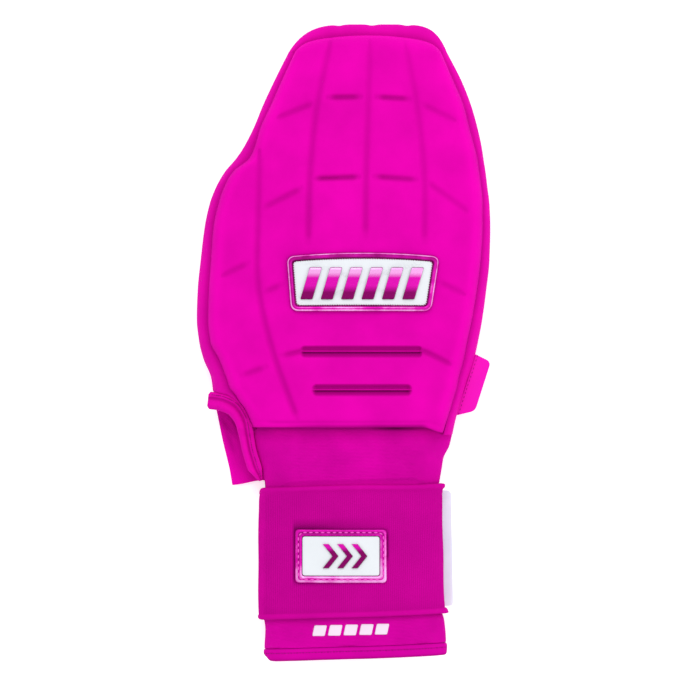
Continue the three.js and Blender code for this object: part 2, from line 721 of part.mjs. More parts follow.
// The binding runs along the upper layer's edge at the thumb-side opening
function makeBinding() {
  const rimRow = (up) => [edgeOf.thumbEdge(up), upToY(up), seamZ(up / tipStart) + padEdge * 0.8 - 3.2];
  const cuffRow = (below, turn) => {
    const [x, y, z] = cuffPoint(turn, below, 0);
    return [x - 3 * clearance, y, z];
  };
  const first = rimRow(0.084);
  const edge = [
    [first[0] - 0.065 * handWidth, first[1] + 0.2, first[2] - 5.5],
    [first[0] - 0.030 * handWidth, first[1] - 0.4, first[2] - 2.2],
    [first[0] - 0.004 * handWidth, first[1] - 1.4, first[2] - 0.4],
    rimRow(0.062),
    rimRow(0.042),
    rimRow(0.010),
    cuffRow(cuffShow * 0.16, 176),
    cuffRow(cuffShow * 0.36, 178),
    cuffRow(cuffShow * 0.58, 180),
    cuffRow(cuffShow * 0.84, 184),
  ];
  const route = new THREE.CatmullRomCurve3(edge.map((p) => new THREE.Vector3(...p)));
  const half = bindingWidth / 2;
  const tall = bindingHeight / 2;
  const profile = [
    { side: -1, rise: 0.1 }, { side: -0.9, rise: 0.55 }, { side: -0.45, rise: 0.62 },
    { side: -0.25, rise: 0.4 }, { side: 0, rise: 0.85 }, { side: 0.45, rise: 1 },
    { side: 0.85, rise: 0.7 }, { side: 1, rise: 0 }, { side: 0.8, rise: -0.75 },
    { side: 0.3, rise: -1 }, { side: -0.35, rise: -0.55 }, { side: -0.95, rise: -0.3 },
  ];
  const steps = 20;
  const sections = [];
  for (let s = 0; s <= steps; s += 1) {
    const point = route.getPointAt(s / steps);
    const way = route.getTangentAt(s / steps).setZ(0).normalize();
    const outward = [way.y, -way.x];
    const size = s === 0 || s === steps ? 0.7 : 1;
    sections.push(profile.map(({ side, rise }) => {
      const off = half + clearance + side * half * size;
      return [point.x + outward[0] * off, point.y + outward[1] * off, point.z + rise * tall * size];
    }));
  }
  return loft(sections, false);
}

function makeLabel() {
  const [topUp, lowUp] = [0.181, 0.034];
  const seat = (up) => [edgeOf.littleEdge(up) + 1.5 * clearance, upToY(up)];
  const seam = [0, 0.33, 0.66, 1].map((share) => seat(mix(topUp, lowUp, share)));
  const [a, d] = [seam[0], seam[seam.length - 1]];
  const length = Math.hypot(d[0] - a[0], d[1] - a[1]);
  const down = [(d[0] - a[0]) / length, (d[1] - a[1]) / length];
  const out = [-down[1], down[0]];
  const step = (p, o, w) => [p[0] + out[0] * o + down[0] * w, p[1] + out[1] * o + down[1] * w];
  const corners = [...seam, step(d, labelWidth, -0.16 * length), step(a, labelWidth, 0.04 * length)];
  const outline = new THREE.Shape(rounded(corners, 1.4, 3, 1).map((p) => new THREE.Vector2(...p)));
  const seatAlong = (topUp + lowUp) / 2 / tipStart;
  const top = seamZ(seatAlong) + padEdge * 0.8;
  const geometry = new THREE.ExtrudeGeometry(outline, { depth: labelThickness, bevelEnabled: false });
  return geometry.translate(0, 0, mix(top, palmTop, rimProfile[3].fall) - labelThickness / 2);
}

// Raises the top edge of a loop into a bow over its upper corners
function bowed(loop, corners) {
  const [first, , , last] = corners;
  const middle = (first[0] + last[0]) / 2;
  const half = (last[0] - first[0]) / 2;
  const low = corners[1][1];
  const high = first[1];
  return loop.map(([x, y]) => {
    const share = smoothstep(low, high, y);
    return [x, y + badgeBow * share * (1 - Math.min(Math.abs((x - middle) / half), 1) ** 2)];
  });
}

function makeBadge() {
  const corners = badge.map(({ x, up }) => [x * handWidth, upToY(up)]);
  const inner = inset(corners, badgeFrameWidth);
  const outerLoop = bowed(rounded(corners, badgeCorner, 4, 7), corners);
  const innerLoop = bowed(rounded(inner, badgeCorner * 0.45, 4, 7), corners);
  add("badge_frame", shape.chrome, frameOn(outerLoop, innerLoop, padTopAt, [
    { across: 0, rise: clearance },
    { across: 0.04, rise: badgeRise * 0.7 },
    { across: 0.3, rise: badgeRise },
    { across: 0.72, rise: badgeRise },
    { across: 1, rise: badgeRise * 0.65 },
    { across: 1, rise: clearance },
  ]));
  const panelCorners = inset(inner, clearance);
  const panel = bowed(rounded(panelCorners, badgeCorner * 0.45, 3, 7), corners);
  const panelTop = (x, y) => padTopAt(x, y) + clearance + panelRise;
  add("badge_panel", shape.white, plate(panel, panelTop, (x, y) => padTopAt(x, y) + clearance, 2));
  const [lower, upper] = [panelCorners[1], panelCorners[0]];
  const height = (upper[1] - lower[1]) * 0.62;
  const span = panelCorners[2][0] - lower[0];
  const pitch = (span * 0.88) / barCount;
  const barWidth = pitch * 0.52;
  const slant = height * 0.3;
  for (let i = 0; i < barCount; i += 1) {
    const x = lower[0] + span * 0.03 + i * pitch;
    const y = lower[1] + (upper[1] - lower[1]) * 0.22;
    const bar = [[x, y], [x + barWidth, y], [x + barWidth + slant, y + height], [x + slant, y + height]];
    const top = (px, py) => panelTop(px, py) + clearance + barRise;
    const bottom = (px, py) => panelTop(px, py) + clearance;
    add(`badge_bar_${i + 1}`, shape.chrome, plate(rounded(bar, 0.7, 2, 2), top, bottom, 1));
  }
}

const patchWidth = 47.8;
const patchHeight = 28.1;
const patchX = -1.8;
const patchDown = 0.527;
const chevronCount = 3;

function makePatch() {
  const y = footY - strapStart - patchDown * strapHeight;
  const box = (w, h) => [[patchX - w / 2, y + h / 2], [patchX - w / 2, y - h / 2],
    [patchX + w / 2, y - h / 2], [patchX + w / 2, y + h / 2]];
  const corners = box(patchWidth, patchHeight);
  const inner = inset(corners, patchFrameWidth);
  add("strap_patch_frame", shape.chrome, frameOn(rounded(corners, 2.2, 3, 4), rounded(inner, 1.6, 3, 4),
    strapTopAt, [
      { across: 0, rise: clearance },
      { across: 0.08, rise: patchRise * 0.8 },
      { across: 0.4, rise: patchRise },
      { across: 0.8, rise: patchRise * 0.95 },
      { across: 1, rise: patchRise * 0.6 },
      { across: 1, rise: clearance },
    ]));
  const panel = rounded(inset(inner, clearance), 1.4, 3, 4);
  const panelTop = (px, py) => strapTopAt(px, py) + clearance + patchRise * 0.4;
  add("strap_patch_panel", shape.white,
    plate(panel, panelTop, (px, py) => strapTopAt(px, py) + clearance, 2));
  const tall = (patchHeight - 2 * patchFrameWidth) * 0.3;
  const thick = 3.2;
  const pitch = 7.5;
  for (let i = 0; i < chevronCount; i += 1) {
    const x = patchX + (i - (chevronCount - 1) / 2) * pitch - 2;
    const arm = (lean, rise) => [x + lean, y + rise];
    const lower = (p) => [...p, panelTop(...p) + clearance];
    const upper = (p) => [...p, panelTop(...p) + clearance + 0.5];
    const rows = [[arm(0, tall), arm(thick, tall)], [arm(tall * 0.8, 0), arm(tall * 0.8 + thick, 0)],
      [arm(0, -tall), arm(thick, -tall)]];
    add(`strap_chevron_${i + 1}`, shape.chrome,
      loft(rows.map(([p, q]) => [upper(p), upper(q), lower(q), lower(p)]), false));
  }
}

add("back_pad", shape.shell, makePad());
add("rim_band", shape.rim, makeRim());
add("palm_panel", shape.palm, makePalm());
add("thumb_binding", shape.rim, makeBinding());
add("wrist_cuff", shape.knit, makeCuff());
add("cuff_hem", shape.knit, makeHem());
add("wrist_strap", shape.elastic, makeStrap());
add("closure_tab", shape.hook, makeTab());
add("side_label", shape.label, makeLabel());
makeBadge();
makePatch();

export default mitt;
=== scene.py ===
"""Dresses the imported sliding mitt: padded back, rim, palm, cuff, strap, badge and stitching."""

import math

import bmesh
import bpy
import numpy as np
from mathutils import Matrix, Vector


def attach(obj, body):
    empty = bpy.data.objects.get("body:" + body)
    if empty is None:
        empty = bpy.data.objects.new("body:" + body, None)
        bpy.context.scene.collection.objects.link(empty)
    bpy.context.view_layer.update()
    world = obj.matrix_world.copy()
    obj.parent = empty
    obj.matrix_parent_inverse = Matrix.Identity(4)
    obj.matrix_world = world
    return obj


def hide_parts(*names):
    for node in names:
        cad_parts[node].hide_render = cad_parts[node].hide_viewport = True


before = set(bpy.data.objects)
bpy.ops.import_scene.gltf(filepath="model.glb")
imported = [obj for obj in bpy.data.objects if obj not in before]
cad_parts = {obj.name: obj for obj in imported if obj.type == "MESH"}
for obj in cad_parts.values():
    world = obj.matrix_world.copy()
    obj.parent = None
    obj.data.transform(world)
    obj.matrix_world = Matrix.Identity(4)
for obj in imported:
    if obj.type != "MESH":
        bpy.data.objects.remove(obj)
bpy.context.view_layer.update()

bl_info = {
    "name": "Sliding Mitt",
    "version": (1, 0, 0),
    "blender": (4, 5, 0),
    "location": "View3D > Sidebar > Mitt",
    "description": "Builds the sewn pieces and finishes of a sliding mitt round its frame",
    "category": "Object",
}

MM = 0.001


def table(columns, *rows):
    """Named columns of numbers."""
    return dict(zip(columns.split(), np.array(rows, float).T))


# Hand outline: up as a share of HAND_LENGTH, the rest as shares of HAND_WIDTH from the centre line
HAND_LENGTH = 209.6
HAND_WIDTH = 153.4
ORIGIN_UP = 0.2085
SIDES = table(
    "up thumb_edge thumb_seam little_seam little_edge",
    (0.000, -0.317, -0.308, 0.334, 0.367),
    (0.045, -0.344, -0.337, 0.356, 0.385),
    (0.067, -0.372, -0.359, 0.366, 0.395),
    (0.078, -0.398, -0.368, 0.371, 0.400),
    (0.087, -0.447, -0.378, 0.375, 0.404),
    (0.097, -0.449, -0.389, 0.380, 0.408),
    (0.122, -0.454, -0.401, 0.387, 0.419),
    (0.169, -0.480, -0.426, 0.405, 0.441),
    (0.213, -0.495, -0.456, 0.417, 0.455),
    (0.270, -0.503, -0.464, 0.434, 0.470),
    (0.340, -0.500, -0.461, 0.450, 0.483),
    (0.414, -0.490, -0.454, 0.463, 0.494),
    (0.499, -0.476, -0.445, 0.470, 0.497),
    (0.556, -0.459, -0.428, 0.470, 0.494),
    (0.598, -0.437, -0.408, 0.465, 0.487),
    (0.635, -0.408, -0.378, 0.458, 0.481),
    (0.667, -0.371, -0.325, 0.452, 0.474),
    (0.692, -0.347, -0.308, 0.444, 0.469),
    (0.744, -0.310, -0.286, 0.425, 0.454),
    (0.801, -0.278, -0.250, 0.405, 0.432),
    (0.861, -0.240, -0.214, 0.371, 0.400),
    (0.933, -0.191, -0.168, 0.328, 0.350),
)
TIP_START = 0.933
SEAM_TIP = 0.975

# Height of the seam and of the pocket's arch above it, from the pad's foot to the tip seam
CREASE_HEIGHT = 14.6
ARCH_HEIGHT = 9
HEIGHTS = table(
    "along seam arch",
    (0.00, 1.40, 0.50),
    (0.08, 1.26, 0.72),
    (0.22, 1.08, 0.95),
    (0.42, 1.00, 1.00),
    (0.64, 0.94, 0.88),
    (0.84, 0.80, 0.60),
    (0.95, 0.68, 0.26),
    (1.00, 0.62, 0.02),
)

PAD_THICKNESS = 8.5
PAD_EDGE = 2.2
SHOULDER_WIDTH = 5.5
FOOT_THICKNESS = 5.2
FOOT_DROP = 2.8
RIM_WALL = 2.2
RIM_SIDE = 0.41
STRIP_FALL = 2.2
PALM_THICKNESS = 2.5
CLEARANCE = 0.3
PALM_TOP = PALM_THICKNESS + CLEARANCE
PALM_SHARE = 0.92
OPENING_TOP = (0.078, 0.087)
TIP_DIPS = (-2.8, 14.4, 32.6)

# The rim's section from the seam outwards, beside the pocket and along the thumb-side opening
RIM_PROFILE = table(
    "out fall",
    (0, 0), (0.45, 0.06), (0.82, 0.24), (1, 0.58), (0.92, 0.86), (0.72, 1),
)
STRIP_PROFILE = table(
    "out fall",
    (0, 0), (0.3, 0.05), (0.55, 0.2), (0.78, 0.45), (0.92, 0.75), (1, 1),
)

# Palm panel below the hand: down as a share of CUFF_SHOW, edges as shares of HAND_WIDTH
FLAP_SLANT = 2.4
FLAP_CREASES = (((-66, -37), (-57, -49)), ((-61, -33), (-52, -52)), ((-62, -45), (-56, -60)))
FLAP = table(
    "down thumb little",
    (0.98, -0.383, 0.317),
    (0.72, -0.392, 0.322),
    (0.51, -0.402, 0.329),
    (0.31, -0.412, 0.345),
    (0.11, -0.421, 0.356),
    (-0.11, -0.430, 0.369),
    (-0.36, -0.440, 0.383),
)

# Cuff from the pad's foot to its end: edges as shares of CUFF_WIDTH, top as a share of CUFF_TOP
CUFF_WIDTH = 94
CUFF_SHOW = 31.2
CUFF_WALL = 2
CUFF_TOP = 23.9
CUFF_TILT = 1.7
CUFF_ROUNDNESS = 2.4
CUFF_TAIL = 21.8
STRAP_HEIGHT = 67.6
STRAP_WALL = 2.2
STRAP_BOW = 1.4
RIB_COUNT = 206
HEM_HEIGHT = 6.8
HEM_RISE = 0.6
TAB_THICKNESS = 1.6
TAB_HEIGHT = 60.5
TAB_LAP = 34
TAB_REACH = 5
TAB_CORNER = 2.2
TAB_SOFTNESS = 0.35
CUFF_LENGTH = CUFF_SHOW + STRAP_HEIGHT + CUFF_TAIL
STRAP_END = CUFF_SHOW + STRAP_HEIGHT
STRAP_FACE = CLEARANCE + STRAP_WALL
CUFF_END = CUFF_LENGTH - HEM_HEIGHT
ON_STRAP = TAB_THICKNESS + 2 * CLEARANCE + STRAP_WALL
CUFF_SECTIONS = table(
    "down thumb little top",
    (-0.06, -0.545, 0.612, 1.00),
    (0.03, -0.510, 0.597, 1.00),
    (0.085, -0.497, 0.581, 1.00),
    (0.14, -0.475, 0.550, 0.99),
    (0.20, -0.448, 0.538, 0.98),
    (0.25, -0.437, 0.527, 0.97),
    (0.30, -0.447, 0.514, 0.96),
    (0.55, -0.450, 0.520, 0.95),
    (0.80, -0.450, 0.528, 0.95),
    (0.83, -0.443, 0.548, 0.95),
    (0.86, -0.439, 0.556, 0.95),
    (0.94, -0.444, 0.564, 0.93),
    (1.00, -0.432, 0.561, 0.90),
)
CUFF_MOUTH = table(
    "turn start",
    (0, 0.105), (26, 0.10), (40, -0.10), (50, -0.19), (130, -0.19), (142, -0.10), (160, 0.04),
    (176, 0.10), (184, 0.86), (200, 0.80), (270, 0.72), (306, 0.72), (318, 0.22), (360, 0.105),
)

# Pressed grooves: depth and painted shade at the two ends, half width in millimetres, then points
# as shares of HAND_WIDTH from the centre and of HAND_LENGTH up
GROOVES = (
    (0.45, 0.85, 1.7, ((-0.043, 0.972), (-0.096, 0.784), (-0.117, 0.625), (-0.123, 0.457))),
    (0.32, 0.80, 1.6, ((0.087, 0.976), (0.080, 0.800), (0.073, 0.625), (0.070, 0.474))),
    (0.32, 0.62, 1.6, ((0.202, 0.970), (0.250, 0.775), (0.270, 0.615), (0.270, 0.457))),
    (0.55, 0.80, 1.6, ((-0.287, 0.702), (-0.293, 0.500), (-0.293, 0.357), (-0.247, 0.199),
                       (-0.161, 0.022))),
    (1.35, 1.25, 1.25, ((-0.056, 0.817), (0.056, 0.818))),
    (1.35, 1.10, 1.25, ((0.108, 0.818), (0.222, 0.813))),
    (1.40, 1.35, 1.25, ((-0.104, 0.615), (0.052, 0.619))),
    (1.30, 1.00, 1.25, ((0.101, 0.620), (0.246, 0.612))),
    (0.65, 0.80, 1.5, ((-0.239, 0.764), (-0.103, 0.803))),
    (0.65, 0.85, 1.5, ((-0.279, 0.541), (-0.144, 0.591))),
    (0.75, 0.65, 1.5, ((-0.273, 0.333), (-0.207, 0.354))),
    (0.60, 0.75, 1.5, ((-0.428, 0.370), (-0.323, 0.407))),
    (0.65, 0.75, 1.5, ((-0.351, 0.127), (-0.266, 0.149))),
    (0.80, 1.10, 1.4, ((-0.215, 0.176), (-0.122, 0.192))),
    (0.60, 0.42, 1.5, ((0.260, 0.801), (0.395, 0.754))),
    (0.60, 0.42, 1.5, ((0.277, 0.608), (0.433, 0.526))),
    (0.65, 0.45, 1.5, ((0.317, 0.360), (0.426, 0.323))),
    (1.15, 0.80, 1.4, ((0.240, 0.194), (0.275, 0.186), (0.368, 0.152))),
)
SLOTS = table("start end up", (-0.144, 0.260, 0.187), (-0.103, 0.221, 0.092))
SLOT_WIDTH = 6.0

# A slot's depth and painted shade across its width, from -1 at the wrist side to 1
SLOT_PRESS = table(
    "across depth",
    (-1.15, 0), (-0.9, 0.5), (-0.6, 1.7), (-0.24, 3), (-0.1, 3.1), (0.01, 2.1), (0.14, 2.1),
    (0.32, 2.7), (0.62, 2.3), (0.88, 0.9), (1.1, 0),
)
SLOT_SHADE = table(
    "across level",
    (-1.15, 0), (-0.92, 0.4), (-0.7, 0.75), (-0.38, 0.98), (-0.24, 1.55), (-0.08, 1.45),
    (0.03, 0.3), (0.13, 0.25), (0.3, 0.95), (0.62, 0.9), (0.9, 0.5), (1.15, 0),
)

# The badge's corners, anticlockwise from the upper one at the thumb side
BADGE = ((-0.196, 0.423), (-0.181, 0.2865), (0.294, 0.2865), (0.323, 0.423))
BADGE_CORNER = 4.2
BADGE_BOW = 2.0
BADGE_FRAME_WIDTH = 2.8
BADGE_INNER_CORNER = BADGE_CORNER * 0.45
PANEL_RISE = 1.1
BAR_RISE = 0.9
BAR_COUNT = 6
PATCH_WIDTH = 47.8
PATCH_HEIGHT = 28.1
PATCH_X = -1.8
PATCH_DOWN = 0.527
PATCH_FRAME_WIDTH = 3.6
PATCH_CORNER = 2.2
PATCH_INNER_CORNER = 1.6
PATCH_RISE = 1.5
CHEVRON_COUNT = 3
CHEVRON_THICK = 3.2
CHEVRON_PITCH = 7.5
LABEL_THICKNESS = 1.2
LABEL_WIDTH = 8.9
LABEL_CORNER = 2.6
LABEL_SEAM_CORNER = 0.4
LABEL_SOFTNESS = 0.3
LABEL_UP = (0.181, 0.028)
BINDING_HEIGHT = 4.4
BINDING_WIDTHS = (9.2, 6.0)

# The cuff's printed stripes: middle of each, then the sizes that they share
PRINT_MIDDLES = (-13.5, -5.4, 2.7, 10.8, 18.9)
PRINT_WIDTH = 6.5
PRINT_Y = -149.0
PRINT_HEIGHT = 5.6
PRINT_LEAN = 1.2
PRINT_SLOPE = 0.025


def mix(low, high, share):
    return low + (high - low) * share


def smoothstep(low, high, value):
    t = np.clip((value - low) / (high - low), 0, 1)
    return t * t * (3 - 2 * t)


def bell(distance, width):
    """One at no distance, fading smoothly over a width."""
    return np.exp(-((distance / width) ** 2))


def through(rows, key, column):
    """A smooth curve through a table's rows that never swings past them."""
    at, level = rows[key], rows[column]
    if at[0] > at[-1]:
        at, level = at[::-1], level[::-1]
    rate = np.diff(level) / np.diff(at)
    before, after = np.r_[rate[0], rate], np.r_[rate, rate[-1]]
    rising = before * after > 0
    slope = np.where(rising, 2 * before * after / np.where(rising, before + after, 1), 0)

    def curve(where):
        where = np.asarray(where, float)
        i = np.clip(np.searchsorted(at, where) - 1, 0, len(rate) - 1)
        span = at[i + 1] - at[i]
        t = np.clip((where - at[i]) / span, 0, 1)
        return (
            level[i] * (2 * t**3 - 3 * t**2 + 1) + span * slope[i] * (t**3 - 2 * t**2 + t)
            + level[i + 1] * (3 * t**2 - 2 * t**3) + span * slope[i + 1] * (t**3 - t**2)
        )

    return curve


def rows_at(rows, share, smooth=False):
    """Each column of a table at shares along its rows, in straight pieces or smoothly."""
    columns = list(rows.values())
    at = np.linspace(0, 1, len(columns[0]))
    if smooth:
        return [through({"at": at, "level": column}, "at", "level")(share) for column in columns]
    return [np.interp(share, at, column) for column in columns]


def flowing(points, count):
    """Points at even distances on a smooth curve through the given ones."""
    points = np.asarray(points, float)
    ends = np.vstack([2 * points[0] - points[1], points, 2 * points[-1] - points[-2]])
    t = np.linspace(0, 1, 24, endpoint=False)[:, None]
    fine = []
    for p0, p1, p2, p3 in zip(ends[:-3], ends[1:-2], ends[2:-1], ends[3:]):
        d0, d1, d2 = (np.linalg.norm(b - a) ** 0.5 for a, b in ((p0, p1), (p1, p2), (p2, p3)))
        first = ((p1 - p0) / d0 - (p2 - p0) / (d0 + d1) + (p2 - p1) / d1) * d1
        second = ((p2 - p1) / d1 - (p3 - p1) / (d1 + d2) + (p3 - p2) / d2) * d1
        fine.append(
            p1 * (2 * t**3 - 3 * t**2 + 1) + first * (t**3 - 2 * t**2 + t)
            + p2 * (3 * t**2 - 2 * t**3) + second * (t**3 - t**2)
        )
    return evenly(np.vstack([*fine, points[-1:]]), count)


def evenly(points, count):
    """Points at even distances along straight pieces."""
    points = np.asarray(points, float)
    run = np.r_[0, np.cumsum(np.linalg.norm(np.diff(points, axis=0), axis=1))]
    at = np.linspace(0, run[-1], count)
    return np.stack([np.interp(at, run, column) for column in points.T], 1)


def closed(loop):
    return np.vstack([loop, loop[:1]])


def distance_to(path, x, y):
    """Distance of points to a path of straight pieces, and the share of the path passed there."""
    nearest = np.full(x.shape, np.inf)
    passed = np.zeros(x.shape)
    pieces = len(path) - 1
    for i, (a, b) in enumerate(zip(path[:-1], path[1:])):
        way = b - a
        t = np.clip(((x - a[0]) * way[0] + (y - a[1]) * way[1]) / (way @ way), 0, 1)
        gap = np.hypot(x - a[0] - t * way[0], y - a[1] - t * way[1])
        closer = gap < nearest
        nearest = np.where(closer, gap, nearest)
        passed = np.where(closer, (i + t) / pieces, passed)
    return nearest, passed


def up_to_y(up):
    return (up - ORIGIN_UP) * HAND_LENGTH


def side_line(column):
    share = through(SIDES, "up", column)
    return lambda up: share(up) * HAND_WIDTH


FOOT_Y = up_to_y(0)
PATCH_Y = FOOT_Y - CUFF_SHOW - PATCH_DOWN * STRAP_HEIGHT
thumb_edge, thumb_seam = side_line("thumb_edge"), side_line("thumb_seam")
little_seam, little_edge = side_line("little_seam"), side_line("little_edge")
seam_share = through(HEIGHTS, "along", "seam")
arch_share = through(HEIGHTS, "along", "arch")


def tip_seam_up(across):
    return SEAM_TIP - (SEAM_TIP - TIP_START) * (0.5 * across**2 + 0.5 * across**10)


def tip_edge_up(across):
    sharpness = np.where(across < 0, 4.4, 7)
    return 1 - (1 - TIP_START) * np.abs(across) ** sharpness


def pad_plan(across, along):
    """A point of the pad in plan: across from -1 to 1, along from the foot to the tip seam."""
    up = along * TIP_START
    x = mix(thumb_seam(up), little_seam(up), (across + 1) / 2)
    bulge = (tip_seam_up(across) - TIP_START) * along**6
    drop = FOOT_DROP * smoothstep(0.78, 1, across) * (1 - along) ** 10
    return x, up_to_y(up + bulge) - drop


def seam_z(along):
    return seam_share(along) * CREASE_HEIGHT


def rim_top(along):
    """Height at which the rim leaves its seam."""
    return seam_z(along) + PAD_EDGE * 0.8


def ceiling(across, along):
    return seam_z(along) + arch_share(along) * ARCH_HEIGHT * (1 - np.abs(across) ** 2.2)


def shoulder(distance, width):
    return np.sqrt(1 - (1 - np.clip(distance / width, 0, 1)) ** 2)


def pad_distances(across, along):
    """How far a point of the pad lies from its sides, its tip and its foot."""
    x, y = pad_plan(across, along)
    up = along * TIP_START
    to_side = np.minimum(x - thumb_seam(up), little_seam(up) - x)
    to_foot = y - pad_plan(across, np.zeros_like(along))[1]
    return to_side, up_to_y(tip_seam_up(across)) - y, to_foot


def pad_top(across, along):
    to_side, to_tip, to_foot = pad_distances(across, along)
    at_foot = mix(FOOT_THICKNESS / PAD_THICKNESS, 1, shoulder(to_foot, 2.4 * SHOULDER_WIDTH))
    cover = shoulder(np.minimum(to_side, to_tip), SHOULDER_WIDTH) * at_foot
    return ceiling(across, along) + mix(PAD_EDGE, PAD_THICKNESS, cover)


def locate(x, y):
    """The pad's place under points of the plan."""
    along = np.clip((y - FOOT_Y) / (HAND_LENGTH * TIP_START), 0, 1)
    across = np.zeros_like(along)
    for _ in range(8):
        along = np.clip(along, 0, 1)
        left, right = thumb_seam(along * TIP_START), little_seam(along * TIP_START)
        across = np.clip((2 * x - left - right) / (right - left), -1, 1)
        along = along + (y - pad_plan(across, along)[1]) / (HAND_LENGTH * TIP_START)
    return across, np.clip(along, 0, 1)


def pad_top_at(x, y):
    return pad_top(*locate(x, y))


cuff_thumb = through(CUFF_SECTIONS, "down", "thumb")
cuff_little = through(CUFF_SECTIONS, "down", "little")
cuff_top_share = through(CUFF_SECTIONS, "down", "top")


def cuff_floor(below):
    """The cuff's underside: over the palm, over the strap and tab, then down to the table."""
    to_strap = smoothstep(CUFF_SHOW * 0.88, CUFF_SHOW, below)
    to_hem = smoothstep(STRAP_END, CUFF_END, below)
    return mix(mix(PALM_TOP, ON_STRAP, to_strap), HEM_RISE, to_hem)


def cuff_point(turn, below, grow):
    """A point of the cuff's outer face: turn in degrees round the wrist, below the pad's foot."""
    down = below / CUFF_LENGTH
    left, right = cuff_thumb(down) * CUFF_WIDTH, cuff_little(down) * CUFF_WIDTH
    bottom, top = cuff_floor(below), cuff_top_share(down) * CUFF_TOP
    angle = np.radians(turn)
    cos, sin = np.cos(angle), np.sin(angle)
    flat = 2 / CUFF_ROUNDNESS
    x = (left + right) / 2 + ((right - left) / 2 + grow) * np.sign(cos) * np.abs(cos) ** flat
    z = (top + bottom) / 2 + ((top - bottom) / 2 + grow) * np.sign(sin) * np.abs(sin) ** flat
    tilt = CUFF_TILT * cos * smoothstep(0.1 * CUFF_SHOW, CUFF_SHOW, below)
    return x, FOOT_Y - below + tilt, z


def wrist_top_at(x, y, grow):
    """Height over a point of the plan of a face that lies grow outside the cuff's."""
    down = (FOOT_Y - y) / CUFF_LENGTH
    left = cuff_thumb(down) * CUFF_WIDTH - grow
    right = cuff_little(down) * CUFF_WIDTH + grow
    top, bottom = cuff_top_share(down) * CUFF_TOP, cuff_floor(FOOT_Y - y)
    share = np.clip(np.abs((2 * x - left - right) / (right - left)), 0, 1)
    lift = (1 - share**CUFF_ROUNDNESS) ** (1 / CUFF_ROUNDNESS)
    return (top + bottom) / 2 + ((top - bottom) / 2 + grow) * lift


def strap_top_at(x, y):
    return wrist_top_at(x, y, STRAP_FACE)


def cuff_wave(x, y):
    """The slow waves of the knit, in millimetres."""
    crossed = np.sin(x * 0.16 + 1.1) * np.sin(y * 0.23 + 0.4)
    return 0.30 * crossed + 0.16 * np.sin(x * 0.31 + y * 0.19)


def cuff_top_at(x, y):
    """Height of the cuff's face below the strap, its waves rising there as cuff_face has them."""
    return wrist_top_at(x, y, 0) + cuff_wave(x, y) * smoothstep(0, 5, FOOT_Y - y - STRAP_END - 2)


def higher(surface, rise):
    """A surface that lies a fixed rise above another."""
    return lambda x, y: surface(x, y) + rise


def toward_ends(share, amount):
    """Moves even shares from 0 to 1 closer together near both ends."""
    return share - amount * np.sin(2 * np.pi * share) / (2 * np.pi)


def new_mesh():
    """An empty bmesh with the UV map and the painted shade level that the finishes read."""
    bm = bmesh.new()
    bm.loops.layers.uv.new("UVMap")
    bm.verts.layers.float.new("fold")
    return bm


def grid(columns, rows, place, around=False, along=False):
    """A grid moved to where place puts it; around and along join its opposite edges.

    place takes the shares across and up the grid and gives x, y, z in millimetres and the painted
    shade level: 0 on an open face, 1 for painted shade down in a fold, 2 at its darkest, and below
    0 for a painted highlight on a crest.
    """
    bm = new_mesh()
    bmesh.ops.create_grid(bm, x_segments=columns, y_segments=rows, size=0.5, calc_uvs=True)
    # Each vertex carries its painted shade level, below 0 a painted highlight; place gives it
    # fourth
    fold = bm.verts.layers.float["fold"]
    plan = np.array([vert.co[:2] for vert in bm.verts]) + 0.5
    x, y, z, depth = np.broadcast_arrays(*place(plan[:, 0], plan[:, 1]))
    for vert, point, shade_depth in zip(bm.verts, np.stack([x, y, z], 1) * MM, depth):
        vert.co = point
        vert[fold] = shade_depth
    if around or along:
        rim = [vert for vert in bm.verts if vert.is_boundary]
        bmesh.ops.remove_doubles(bm, verts=rim, dist=1e-6)
    return bm


def close_ends(bm):
    """Fills what is open with flat faces."""
    open_edges = [edge for edge in bm.edges if edge.is_boundary]
    if open_edges:
        bmesh.ops.holes_fill(bm, edges=open_edges, sides=0)


def plate(outline, thickness):
    """A flat plate on an outline of points, its underside at z 0."""
    bm = new_mesh()
    verts = [bm.verts.new((x * MM, y * MM, 0)) for x, y in outline]
    face = bm.faces.new(verts)
    made = bmesh.ops.extrude_face_region(bm, geom=[face])["geom"]
    raised = [part for part in made if isinstance(part, bmesh.types.BMVert)]
    bmesh.ops.translate(bm, verts=raised, vec=(0, 0, thickness * MM))
    return bm


def soften(bm, offset):
    """Rounds the upper and lower edges of a plate by a small offset."""
    level = [edge for edge in bm.edges if abs(edge.verts[0].co.z - edge.verts[1].co.z) < 0.01 * MM]
    bmesh.ops.bevel(
        bm, geom=level, offset=offset * MM, affect="EDGES", segments=3, profile=0.5, material=-1)


def rounded(corners, radius, corner_steps, side_steps):
    """A polygon's outline with rounded corners, one radius or one for each, and divided sides."""
    corners = np.asarray(corners, float)
    radii = np.broadcast_to(radius, len(corners))
    loop = []
    for i, corner in enumerate(corners):
        following = (i + 1) % len(corners)
        before, after = corners[i - 1], corners[following]
        start = corner + (before - corner) / np.linalg.norm(before - corner) * radii[i]
        end = corner + (after - corner) / np.linalg.norm(after - corner) * radii[i]
        far = after + (corner - after) / np.linalg.norm(after - corner) * radii[following]
        for t in np.linspace(0, 1, corner_steps + 1):
            loop.append((1 - t) ** 2 * start + 2 * t * (1 - t) * corner + t**2 * end)
        for t in np.linspace(0, 1, side_steps + 1)[1:-1]:
            loop.append(mix(end, far, t))
    return np.array(loop)


def inset(corners, distance):
    """Moves a polygon's corners inwards by the same distance on every side."""
    corners = np.asarray(corners, float)

    def inward(a, b):
        return np.array([a[1] - b[1], b[0] - a[0]]) / np.linalg.norm(b - a)

    moved = []
    for i, corner in enumerate(corners):
        m = inward(corners[i - 1], corner)
        n = inward(corner, corners[(i + 1) % len(corners)])
        moved.append(corner + (m + n) * distance / (1 + m @ n))
    return np.array(moved)


